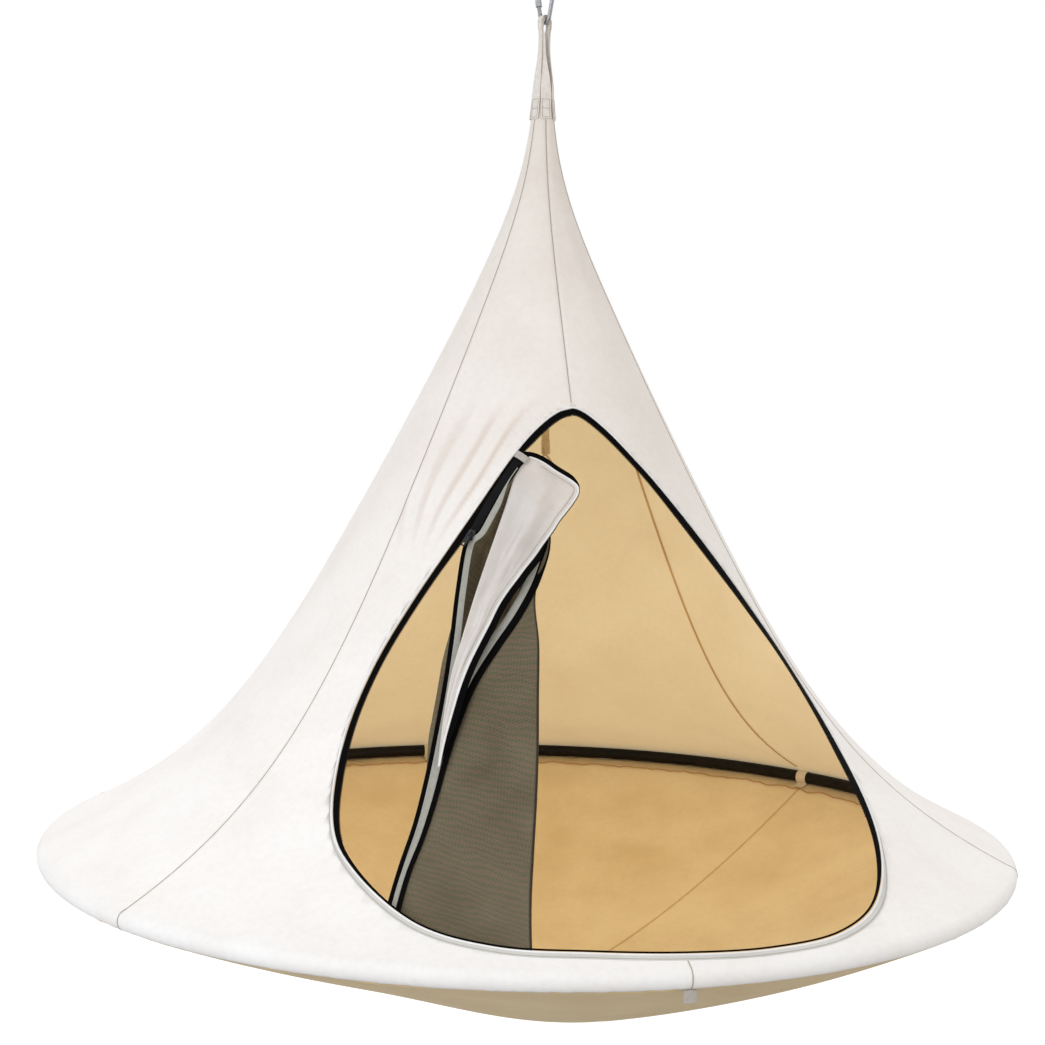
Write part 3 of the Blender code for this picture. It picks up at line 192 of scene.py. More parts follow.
def arc(centre: Spot, radius: float, start: float, stop: float, steps: int) -> list[Spot]:
    """Points on an arc between two angles in degrees, both ends included."""
    angles = [radians(start + (stop - start) * i / steps) for i in range(steps + 1)]
    return [(centre[0] + radius * cos(a), centre[1] + radius * sin(a)) for a in angles]


def rounded_section(width: float, thickness: float, steps: int = 2) -> list[Spot]:
    """The outline of a flat band with rounded edges.

    Args:
        width: Size along X, across the band.
        thickness: Size along Y, outward.
        steps: Faces in each rounded corner.

    Returns:
        The outline's points.
    """
    radius = min(width, thickness) * EDGE_ROUNDING
    x, y = width / 2 - radius, thickness / 2 - radius
    outline = []
    for cx, cy, start in ((x, y, 0), (-x, y, 90), (-x, -y, 180), (x, -y, 270)):
        outline += arc((cx, cy), radius, start, start + 90, steps)
    return outline


def station(
    centre: Vector, across: Vector, outward: Vector, wide: float = 1.0, thick: float = 1.0
) -> Matrix:
    """A place for a section: X across and Y outward, each with its own scale.

    Args:
        centre: Where the section's middle lies.
        across: Direction of the section's X.
        outward: Direction near the section's Y.
        wide: Scale along X.
        thick: Scale along Y.

    Returns:
        The matrix that carries the section there.
    """
    x = across.normalized()
    y = (outward - x * outward.dot(x)).normalized()
    turn = Matrix((x * wide, y * thick, x.cross(y))).transposed()
    return Matrix.Translation(centre) @ turn.to_4x4()


def swept(section: Sequence[Spot], stations: Sequence[Matrix], cyclic: bool = False) -> BMesh:
    """A closed section extruded from each station to the next.

    Each point also keeps how far it lies round the section and along the line, which
    weaves and stitches follow.

    Args:
        section: The section's outline.
        stations: The places that it passes.
        cyclic: Whether the last station joins the first.

    Returns:
        The closed shell.
    """
    bm = bmesh.new()
    layer = bm.verts.layers.float_vector.new(CLOTH_COORDINATES)
    ring = []
    for x, y in section:
        vert = bm.verts.new(stations[0] @ Vector((x, y, 0.0)))
        vert[layer] = Vector((x, 0.0, y))
        ring.append(vert)
    first = [bm.edges.new((ring[i - 1], ring[i])) for i in range(len(ring))]
    edges = first
    run = 0.0
    line = [*stations, stations[0]] if cyclic else stations
    for here, there in zip(line, line[1:]):
        run += (there.translation - here.translation).length
        made = bmesh.ops.extrude_edge_only(bm, edges=edges)["geom"]
        verts, edges = only(BMVert, made), only(BMEdge, made)
        bmesh.ops.transform(bm, matrix=there @ here.inverted(), verts=verts)
        for vert in verts:
            vert[layer] = Vector((vert[layer].x, run, vert[layer].z))
    if cyclic:
        bmesh.ops.remove_doubles(bm, verts=bm.verts, dist=0.000005)
    else:
        bmesh.ops.contextual_create(bm, geom=first)
        bmesh.ops.contextual_create(bm, geom=edges)
    bmesh.ops.recalc_face_normals(bm, faces=bm.faces)
    return bm


def gridded(
    columns: int,
    rows: int,
    place: Callable[[int, int], Vector],
    weave: Callable[[int, int], Vector],
) -> BMesh:
    """A grid of cloth whose points are moved to their places.

    Args:
        columns: Faces across.
        rows: Faces along.
        place: Gives the place of a point by its column and row.
        weave: Gives the same point's coordinates on the flat cloth.

    Returns:
        The open sheet.
    """
    bm = bmesh.new()
    layer = bm.verts.layers.float_vector.new(CLOTH_COORDINATES)
    bmesh.ops.create_grid(bm, x_segments=columns, y_segments=rows, size=0.5)
    for vert in bm.verts:
        i = round((vert.co.x + 0.5) * columns)
        j = round((vert.co.y + 0.5) * rows)
        vert[layer] = weave(i, j)
        vert.co = place(i, j)
    return bm


def mesh_from(name: str, bm: BMesh) -> Mesh:
    """Turns a bmesh into a mesh.

    Args:
        name: The mesh's name.
        bm: The bmesh, which is freed.

    Returns:
        The new mesh.
    """
    mesh = bpy.data.meshes.new(name)
    bm.to_mesh(mesh)
    bm.free()
    return mesh


def joined(parts: Sequence[BMesh]) -> BMesh:
    """Several shells as one bmesh.

    Args:
        parts: The shells, which are freed.

    Returns:
        The bmesh that holds them all, in their order.
    """
    whole = bmesh.new()
    for part in parts:
        mesh = mesh_from("part", part)
        whole.from_mesh(mesh)
        bpy.data.meshes.remove(mesh)
    return whole


def placed(name: str, data: ID, where: Matrix = Matrix()) -> Object:
    """Adds an object to the scene.

    Args:
        name: The object's name.
        data: Its mesh, lamp or camera.
        where: Its place, the origin if none is given.

    Returns:
        The new object.
    """
    item = bpy.data.objects.new(name, data)
    item.matrix_world = where
    bpy.context.scene.collection.objects.link(item)
    return item


def finished(
    name: str,
    bm: BMesh,
    finish: "Finishes",
    slot: str,
    replaces: Sequence[str] = (),
    smooth_angle: float = 40.0,
    body: str = TENT,
    lining: "Finishes | None" = None,
) -> Object:
    """Turns a bmesh into a piece that rides on a body of the frame.

    Args:
        name: The piece's name.
        bm: Its mesh, which is freed.
        finish: Its finish.
        slot: The record's material slot, which is not used.
        replaces: CAD nodes that it stands for.
        smooth_angle: Edges sharper than this many degrees stay sharp.
        body: The body that it rides on.
        lining: Finish of its inner face, if it has another.

    Returns:
        The new object.
    """
    mesh = mesh_from(name, bm)
    mesh.materials.append(finish.make())
    if lining:
        mesh.materials.append(lining.make())
    piece = placed(name, mesh)
    mesh.shade_smooth()
    mesh.set_sharp_from_angle(angle=radians(smooth_angle))
    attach(piece, body)
    if replaces:
        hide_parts(*replaces)
    LOG.info("%s: %d faces on %s", name, len(mesh.polygons), body)
    return piece


def apply_modifiers(piece: Object) -> None:
    """Keeps the mesh that a piece's modifiers make, and drops the modifiers.

    Args:
        piece: The piece, whose old mesh is removed.
    """
    bpy.context.view_layer.update()
    evaluated = piece.evaluated_get(bpy.context.evaluated_depsgraph_get())
    mesh = bpy.data.meshes.new_from_object(evaluated)
    old = piece.data
    piece.modifiers.clear()
    piece.data = mesh
    bpy.data.meshes.remove(old)
    mesh.name = piece.name


def thickened(piece: Object, thickness: float, offset: float = 0.0) -> None:
    """Gives a sheet the thickness of its cloth, and keeps the result.

    Args:
        piece: The sheet. A second material goes to its inner face.
        thickness: Thickness of the cloth.
        offset: Side to which it grows: -1 inward, 0 both ways.
    """
    solid = piece.modifiers.new("cloth", "SOLIDIFY")
    solid.thickness = thickness
    solid.offset = offset
    solid.use_even_offset = False
    if len(piece.data.materials) > 1:
        solid.material_offset = 1
        solid.material_offset_rim = 0
    apply_modifiers(piece)


@dataclass(frozen=True)
class TentShape:
    """The tent's surfaces of revolution and its doorway, with the frame's own sizes."""

    rim_diameter: float = 1.800
    canopy_rise: float = 1.344
    floor_drop: float = 0.280
    neck_length: float = 0.182
    gores: int = 6
    cloth: float = 0.0025
    cone_slope: float = 0.518
    cone_point_below_neck: float = 0.100
    tip_softness: float = 0.080
    rim_angle: float = 24.3
    strap_lap: float = 0.040
    floor_angle: float = 25.0
    tube_radius: float = 0.0125
    wrap_outer: float = 0.0169
    carabiner_inside: float = 0.064
    doorway: tuple[Spot, ...] = (
        (0.002, 0.810), (0.022, 0.803), (0.044, 0.787), (0.072, 0.762), (0.108, 0.725),
        (0.150, 0.681), (0.240, 0.578), (0.326, 0.474), (0.403, 0.372), (0.453, 0.271),
        (0.468, 0.175), (0.443, 0.106), (0.372, 0.055), (0.271, 0.032), (0.141, 0.027),
        (0.006, 0.029), (-0.132, 0.033), (-0.266, 0.037), (-0.369, 0.055), (-0.436, 0.103),
        (-0.451, 0.155), (-0.417, 0.258), (-0.360, 0.369), (-0.289, 0.479), (-0.209, 0.591),
        (-0.131, 0.698), (-0.100, 0.736), (-0.072, 0.766), (-0.044, 0.790), (-0.019, 0.805),
    )

    @property
    def ring_z(self) -> float:
        """Height of the ring's plane in the frame."""
        return -self.carabiner_inside - self.neck_length - self.canopy_rise

    @property
    def ring_radius(self) -> float:
        """Radius of the ring at the middle of its tubes."""
        return self.rim_diameter / 2 - self.wrap_outer

    @property
    def gore_angle(self) -> float:
        """Width of one gore in degrees."""
        return 360.0 / self.gores

    @property
    def top(self) -> float:
        """Height of the canopy's upper edge."""
        return self.canopy_rise + self.strap_lap + self.cloth

    def seam_azimuths(self) -> list[float]:
        """Azimuths of the seams from the front one on, between -180 and 180 degrees."""
        return [(i * self.gore_angle + 180.0) % 360.0 - 180.0 for i in range(self.gores)]

    def from_seam(self, azimuth: float, radius: float) -> float:
        """Distance round the tent from the nearest seam."""
        gore = self.gore_angle
        return radians(abs((azimuth + gore / 2) % gore - gore / 2)) * radius

    def from_gore_middle(self, azimuth: float, radius: float) -> float:
        """Distance round the tent from the middle of the gore, which the weave follows."""
        gore = self.gore_angle
        return abs(radians(azimuth % gore - gore / 2)) * radius

    def directions(self, azimuth: float) -> tuple[Vector, Vector]:
        """The level directions round the tent and outward at an azimuth in degrees."""
        a = radians(azimuth)
        return Vector((cos(a), sin(a), 0.0)), Vector((sin(a), -cos(a), 0.0))

    def cone_line(self, height: float) -> float:
        """Radius of the sharp cone that the canopy softens."""
        return self.cone_slope * (self.canopy_rise - self.cone_point_below_neck - height)

    def cone_radius(self, height: float) -> float:
        """Radius of the softened cone, without the flare at the rim."""
        line = self.cone_line(height)
        return (line + hypot(line, self.tip_softness)) / 2

    def cone_lean(self, height: float) -> float:
        """How fast the cone's radius falls with height."""
        line = self.cone_line(height)
        return self.cone_slope * (1 + line / hypot(line, self.tip_softness)) / 2

    def wrap_point(self, angle: float) -> Spot:
        """Radius and height of a place on the ring's wrap, at an angle above level."""
        a = radians(angle)
        return self.ring_radius + self.wrap_outer * cos(a), self.wrap_outer * sin(a)

    @property
    def wrap_leave(self) -> Spot:
        """Radius and height where the canopy leaves the ring's wrap."""
        return self.wrap_point(90.0 - self.rim_angle)

    @property
    def seam(self) -> Spot:
        """Radius and height of the seam under the ring, where the floor begins."""
        return self.wrap_point(self.floor_angle - 90.0)

    @property
    def flare(self) -> Spot:
        """The rim's flare beyond the cone.

        Returns:
            How far it stands out, and over what height it fades.
        """
        radius, height = self.wrap_leave
        width = radius - self.cone_radius(height)
        return width, width / (1 / tan(radians(self.rim_angle)) - self.cone_lean(height))

    def radius(self, height: float) -> float:
        """Outer radius of the canopy at a height."""
        width, fade = self.flare
        return self.cone_radius(height) + width * exp(-(height - self.wrap_leave[1]) / fade)

    def lean(self, height: float) -> float:
        """How fast the canopy's radius falls with height."""
        width, fade = self.flare
        return self.cone_lean(height) + width / fade * exp(-(height - self.wrap_leave[1]) / fade)

    def floor_height(self, radius: float) -> float:
        """Height of the floor's underside.

        Args:
            radius: Distance from the tent's axis.

        Returns:
            The height, negative below the ring's plane.
        """
        edge, start = self.seam
        depth = self.floor_drop + start
        power = tan(radians(self.floor_angle)) * edge / depth
        return start - depth * (1 - (radius / edge) ** power)

    def place(self, azimuth: float, radius: float, height: float) -> Vector:
        """A point by azimuth in degrees, radius and height."""
        a = radians(azimuth)
        return Vector((radius * sin(a), -radius * cos(a), self.ring_z + height))

    def front_point(self, x: float, height: float, inset: float = 0.0) -> Vector:
        """A point at x in elevation that lies inside the canopy's face by an inset."""
        radius = self.radius(height) - inset
        return Vector((x, -sqrt(radius * radius - x * x), self.ring_z + height))

    def front_normal(self, x: float, height: float) -> Vector:
        """The canopy's outward normal at a place in elevation."""
        radius = self.radius(height)
        return Vector((x / radius, -sqrt(1 - (x / radius) ** 2), self.lean(height))).normalized()

    def door_loop(self, inset: float) -> list[Spot]:
        """The doorway's outline in elevation, clockwise from its apex.

        Args:
            inset: How far the line is moved inward.

        Returns:
            The outline's places.
        """
        lead, fine = 3, 10
        corners = [(x, y, 0.0) for x, y in self.doorway]
        wrapped = [*corners[-lead:], *corners, *corners[: lead + 1]]
        line = smooth_line(wrapped, fine * (len(wrapped) - 1) + 1)
        line = line[lead * fine : -(lead + 1) * fine]
        loop = []
        for i, (x, y, _) in enumerate(line):
            before, after = line[i - 1], line[(i + 1) % len(line)]
            dx, dy = after[0] - before[0], after[1] - before[1]
            loop.append((x + dy / hypot(dx, dy) * inset, y - dx / hypot(dx, dy) * inset))
        return loop

    def left_side(self, height: float, inset: float) -> float:
        """Where a line moved inward from the doorway's left side lies.

        Args:
            height: Height of the place.
            inset: How far the line is moved inward.

        Returns:
            The place's x in elevation.
        """
        loop = self.door_loop(inset)
        for (ax, ay), (bx, by) in zip(loop, loop[1:] + loop[:1]):
            if ay <= height < by and ax < 0.01:
                return ax + (bx - ax) * (height - ay) / (by - ay)
        raise ValueError(f"the doorway has no left side at height {height}")


SHAPE = TentShape()


def above_ring(point: Vector) -> float:
    """A point's height above the ring's plane."""
    return point.z - SHAPE.ring_z


def evenly(line: Sequence[Spot], step: float) -> list[Spot]:
    """The same line with a point at every step of its length.

    Args:
        line: The line's places.
        step: About how far apart the new places are.

    Returns:
        The new places, ends included.
    """
    runs = run_lengths(line)
    count = max(2, round(runs[-1] / step))
    points = []
    j = 0
    for i in range(count + 1):
        run = runs[-1] * i / count
        while j < len(runs) - 2 and runs[j + 1] < run:
            j += 1
        t = (run - runs[j]) / (runs[j + 1] - runs[j])
        points.append(tuple(a + (b - a) * t for a, b in zip(line[j], line[j + 1])))
    return points


def edge_stations(
    line: Sequence[Spot],
    lift: float = 0.0,
    step: float = 0.008,
    wide: Callable[[float, float], float] = lambda x, height: 1.0,
) -> list[Matrix]:
    """Stations along a line of the doorway in elevation, in the middle of the cloth.

    Args:
        line: Places in elevation. A line that ends where it starts is a closed loop.
        lift: How far out from the middle of the cloth the stations lie.
        step: Distance between stations.
        wide: Scale of the section's width at a place in elevation.

    Returns:
        The stations, X across the line in the surface and Y outward.
    """
    places = evenly(line, step)
    normals = [SHAPE.front_normal(*place) for place in places]
    points = [
        SHAPE.front_point(*place) - normal * (SHAPE.cloth / 2 - lift)
        for place, normal in zip(places, normals)
    ]
    directions = ways(points)
    if places[0] == places[-1]:
        directions[0] = directions[-1] = (points[1] - points[-2]).normalized()
    return [
        station(point, way.cross(normal), normal, wide(*place))
        for point, way, normal, place in zip(points, directions, normals, places)
    ]


def closed(loop: Sequence[Spot]) -> list[Spot]:
    """A loop with its first place again at the end."""
    return [*loop, loop[0]]


@dataclass(frozen=True)
class Finish:
    """A finish with one Principled shader, whose pattern follows the piece."""

    name: str
    colour: str
    roughness: float
    metallic: float = 0.0

    def shader(self) -> tuple[Material, NodeTree, Node]:
        """An empty material of the finish's name.

        Returns:
            The material, its tree and its Principled shader, set to plain values.
        """
        material = bpy.data.materials.new(self.name)
        material.use_nodes = True
        tree = material.node_tree
        shader = tree.nodes["Principled BSDF"]
        shader.inputs["Base Color"].default_value = linear(self.colour)
        shader.inputs["Roughness"].default_value = self.roughness
        shader.inputs["Metallic"].default_value = self.metallic
        return material, tree, shader

    def material(self) -> Material:
        """The finished material, made once for each finish.

        Returns:
            The material, from the file where it is already made.
        """
        if self.name in bpy.data.materials:
            return bpy.data.materials[self.name]
        material, tree, shader = self.shader()
        self.dress(tree, shader)
        return material

    def dress(self, tree: NodeTree, shader: Node) -> None:
        """Adds the finish's own pattern to its shader."""


def wave_scale(spacing: float) -> float:
    """The Wave texture's scale that repeats at a spacing in metres."""
    return pi / 10 / spacing


def patterned(
    tree: NodeTree,
    colour: NodeSocket,
    factor: NodeSocket,
    stops: Sequence[tuple[float, str]],
    amount: float = 1.0,
) -> NodeSocket:
    """Lays a pattern of two tones over a colour.

    Args:
        tree: The node tree.
        colour: The colour below.
        factor: The pattern's value.
        stops: The two values at which the tones are full, with their hex colours.
        amount: How strongly the pattern shows.

    Returns:
        The colour with the pattern on it.
    """
    tones = add_node(tree, "ValToRGB", {"stops": stops}, {"Fac": factor})
    way = {"data_type": "RGBA", "blend_type": "MULTIPLY", 0: amount}
    return add_node(tree, "Mix", way, {6: colour, 7: tones["Color"]})[2]


@dataclass(frozen=True)
class WovenCloth(Finish):
    """Plain-weave cloth: crossed threads, and the soft unevenness of washed fabric."""

    thread: float = 0.0022
    uneven: str = "D8D2CA"
    sheen: float = 0.25
    through: float = 0.0
    through_colour: str = "E8C998"
    bump: float = 0.35
    # Strength of a painted glow: the cloth's colour shines as emission
    painted_glow: float = 0.0
    # Colour of a painted shade that darkens the cloth towards the canopy's neck
    painted_top_shade: str = WHITE
    # Colour of the painted shade on the lee side of the canopy's wrinkles
    crease: str = "E9DED6"

    def dress(self, tree: NodeTree, shader: Node) -> None:
        """Crossed threads as relief, a cloudy colour with painted shade, light that comes through,
        and a painted glow.

        Args:
            tree: The material's tree.
            shader: Its Principled shader.
        """
        cloth = add_node(tree, "Attribute", {"attribute_name": CLOTH_COORDINATES})
        vector, where = cloth["Vector"], add_node(tree, "TexCoord")["Object"]
        crossed = {"Scale": wave_scale(self.thread), "Distortion": 0.6, "Detail Scale": 1.5}
        threads = [
            add_node(
                tree, "TexWave", {"bands_direction": way, **crossed}, {"Vector": vector}
            )["Fac"]
            for way in ("X", "Y")
        ]
        weave = add_node(tree, "Math", {"operation": "MAXIMUM"}, {0: threads[0], 1: threads[1]})
        clouds, slubs = (
            add_node(
                tree,
                "TexNoise",
                {"Scale": scale, "Detail": detail, "Roughness": rough},
                {"Vector": where},
            )["Fac"]
            for scale, detail, rough in ((7.0, 5.0, 0.55), (90.0, 3.0, 0.6))
        )
        stops = ((0.30, self.uneven), (0.62, self.colour))
        colour = add_node(tree, "ValToRGB", {"stops": stops}, {"Fac": clouds})["Color"]
        colour = patterned(tree, colour, slubs, ((0.35, "EFEFEF"), (0.60, WHITE)), 0.25)
        # Painted shade on the wrinkles' lee side, carried in the cloth's third coordinate
        painted_crease_shade = add_node(tree, "SeparateXYZ", links={"Vector": vector})["Z"]
        colour = patterned(tree, colour, painted_crease_shade, ((0.0, WHITE), (1.0, self.crease)))
        # Painted shade: darker towards the neck, where less light falls
        if self.painted_top_shade != WHITE:
            height = add_node(tree, "SeparateXYZ", links={"Vector": where})["Z"]
            rise = add_node(
                tree,
                "MapRange",
                {"From Min": SHAPE.ring_z + 0.15, "From Max": SHAPE.ring_z + SHAPE.canopy_rise},
                {"Value": height},
            )["Result"]
            colour = patterned(tree, colour, rise, ((0.0, WHITE), (1.0, self.painted_top_shade)))
        tree.links.new(colour, shader.inputs["Base Color"])
        relief = add_node(
            tree,
            "Bump",
            {"Strength": self.bump, "Distance": 0.0006},
            {"Height": weave["Value"]},
        )["Normal"]
        tree.links.new(relief, shader.inputs["Normal"])
        shader.inputs["Sheen Weight"].default_value = self.sheen
        shader.inputs["Sheen Roughness"].default_value = 0.6
        shader.inputs["Specular IOR Level"].default_value = 0.25
        # Painted glow: the colour also shines as emission, standing in for daylight through the
        # cloth
        if self.painted_glow:
            tree.links.new(colour, shader.inputs["Emission Color"])
            shader.inputs["Emission Strength"].default_value = self.painted_glow
        if self.through:
            lit = add_node(
                tree,
                "BsdfTranslucent",
                {"Color": linear(self.through_colour)},
                {"Normal": relief},
            )
            mix = add_node(
                tree,
                "MixShader",
                {"Fac": self.through},
                {1: shader.outputs["BSDF"], 2: lit["BSDF"]},
            )
            output = tree.nodes["Material Output"]
            tree.links.new(mix["Shader"], output.inputs["Surface"])


@dataclass(frozen=True)
class Webbing(Finish):
    """Woven strap: ribs across its length, a herringbone down the middle, worn edges."""

    rib: float = 0.0016
    uneven: str = "B9AC9E"
    sheen: float = 0.2
    shine: float = 0.3

    def dress(self, tree: NodeTree, shader: Node) -> None:
        """Ribs and a herringbone as relief, with dusty threads between them.

        Args:
            tree: The material's tree.
            shader: Its Principled shader.
        """
        cloth = add_node(tree, "Attribute", {"attribute_name": CLOTH_COORDINATES})
        parts = add_node(tree, "SeparateXYZ", links={"Vector": cloth["Vector"]})
        folded = add_node(tree, "Math", {"operation": "ABSOLUTE"}, {0: parts["X"]})
        slant = add_node(tree, "Math", {"operation": "ADD"}, {0: parts["Y"], 1: folded["Value"]})
        turned = add_node(tree, "CombineXYZ", links={"X": slant["Value"]})
        ribs = add_node(
            tree,
            "TexWave",
            {"bands_direction": "X", "Scale": wave_scale(self.rib), "Distortion": 0.4},
            {"Vector": turned["Vector"]},
        )["Fac"]
        dust = add_node(
            tree,
            "TexNoise",
            {"Scale": 140.0, "Detail": 4.0},
            {"Vector": add_node(tree, "TexCoord")["Object"]},
        )["Fac"]
        stops = ((0.05, self.uneven), (0.45, self.colour))
        colour = add_node(tree, "ValToRGB", {"stops": stops}, {"Fac": ribs})["Color"]
        colour = patterned(tree, colour, dust, ((0.30, "E9E5E0"), (0.66, WHITE)), 0.6)
        tree.links.new(colour, shader.inputs["Base Color"])
        relief = add_node(tree, "Bump", {"Strength": 0.5, "Distance": 0.0005}, {"Height": ribs})
        tree.links.new(relief["Normal"], shader.inputs["Normal"])
        shader.inputs["Sheen Weight"].default_value = self.sheen
        shader.inputs["Specular IOR Level"].default_value = self.shine


@dataclass(frozen=True)
class NetCloth(Finish):
    """Knitted mosquito net: a fine grid of threads with holes, banded where it lies double."""

    hole: float = 0.0024
    band: float = 0.011
    uneven: str = "77705A"
    # Colour of the painted shade along the net's fold
    painted_fold_shade: str = "6E645A"

    def dress(self, tree: NodeTree, shader: Node) -> None:
        """Threads that leave holes, in two tones where the net lies double, with painted shade
        along its fold.

        Args:
            tree: The material's tree.
            shader: Its Principled shader.
        """
        cloth = add_node(tree, "Attribute", {"attribute_name": CLOTH_COORDINATES})
        vector = cloth["Vector"]
        across, along = {"bands_direction": "X"}, {"bands_direction": "Y"}
        fine = {"Scale": wave_scale(self.hole), "Distortion": 0.3}
        broad = {"Scale": wave_scale(self.band), "Distortion": 7.0, "Detail Scale": 0.6}
        columns, rows, bands = (
            add_node(tree, "TexWave", settings, {"Vector": vector})["Fac"]
            for settings in ({**across, **fine}, {**along, **fine}, {**along, **broad})
        )
        threads = add_node(tree, "Math", {"operation": "MAXIMUM"}, {0: columns, 1: rows})["Value"]
        clouds = add_node(
            tree,
            "TexNoise",
            {"Scale": 9.0, "Detail": 3.0},
            {"Vector": add_node(tree, "TexCoord")["Object"]},
        )["Fac"]
        # The cloth's third coordinate marks the net's fold, which gets painted shade
        turned = add_node(tree, "SeparateXYZ", links={"Vector": vector})["Z"]
        stops = ((0.25, self.uneven), (0.60, self.colour))
        colour = add_node(tree, "ValToRGB", {"stops": stops}, {"Fac": clouds})["Color"]
        colour = patterned(tree, colour, bands, ((0.2, "B9BE96"), (0.8, "E3C4BE")), 0.75)
        colour = patterned(tree, colour, turned, ((0.0, WHITE), (1.0, self.painted_fold_shade)))
        colour = patterned(tree, colour, threads, ((0.4, "B8B8B8"), (0.95, WHITE)), 0.8)
        tree.links.new(colour, shader.inputs["Base Color"])
        holes = add_node(
            tree,
            "MapRange",
            {"From Min": 0.30, "From Max": 0.42, "To Min": 0.35, "To Max": 1.0},
            {"Value": threads},
        )
        tree.links.new(holes["Result"], shader.inputs["Alpha"])
        relief = add_node(tree, "Bump", {"Strength": 0.6, "Distance": 0.0006}, {"Height": threads})
        tree.links.new(relief["Normal"], shader.inputs["Normal"])


@dataclass(frozen=True)
class CoatedMetal(Finish):
    """Metal under a coat or bare: fine grain, with rubbed places in another tone."""

    worn: str = "2E2823"
    grain: float = 260.0
    wear: float = 0.62
    bump: float = 0.12
    shine: float = 0.5

    def dress(self, tree: NodeTree, shader: Node) -> None:
        """Fine grain as relief, rubbed patches in colour and in gloss.

        Args:
            tree: The material's tree.
            shader: Its Principled shader.
        """
        where = add_node(tree, "TexCoord")["Object"]
        grain, rubs = (
            add_node(
                tree,
                "TexNoise",
                {"Scale": scale, "Detail": detail, "Roughness": rough},
                {"Vector": where},
            )["Fac"]
            for scale, detail, rough in ((self.grain, 5.0, 0.6), (24.0, 6.0, 0.7))
        )
        shader.inputs["Specular IOR Level"].default_value = self.shine
        stops = ((self.wear - 0.12, self.colour), (self.wear + 0.1, self.worn))
        colour = add_node(tree, "ValToRGB", {"stops": stops}, {"Fac": rubs})
        tree.links.new(colour["Color"], shader.inputs["Base Color"])
        rough, smooth = self.roughness + 0.10, self.roughness - 0.08
        gloss = add_node(
            tree,
            "MapRange",
            {"From Min": 0.3, "From Max": 0.7, "To Min": smooth, "To Max": rough},
            {"Value": grain},
        )
        tree.links.new(gloss["Result"], shader.inputs["Roughness"])
        relief = add_node(
            tree, "Bump", {"Strength": self.bump, "Distance": 0.0003}, {"Height": grain}
        )
        tree.links.new(relief["Normal"], shader.inputs["Normal"])


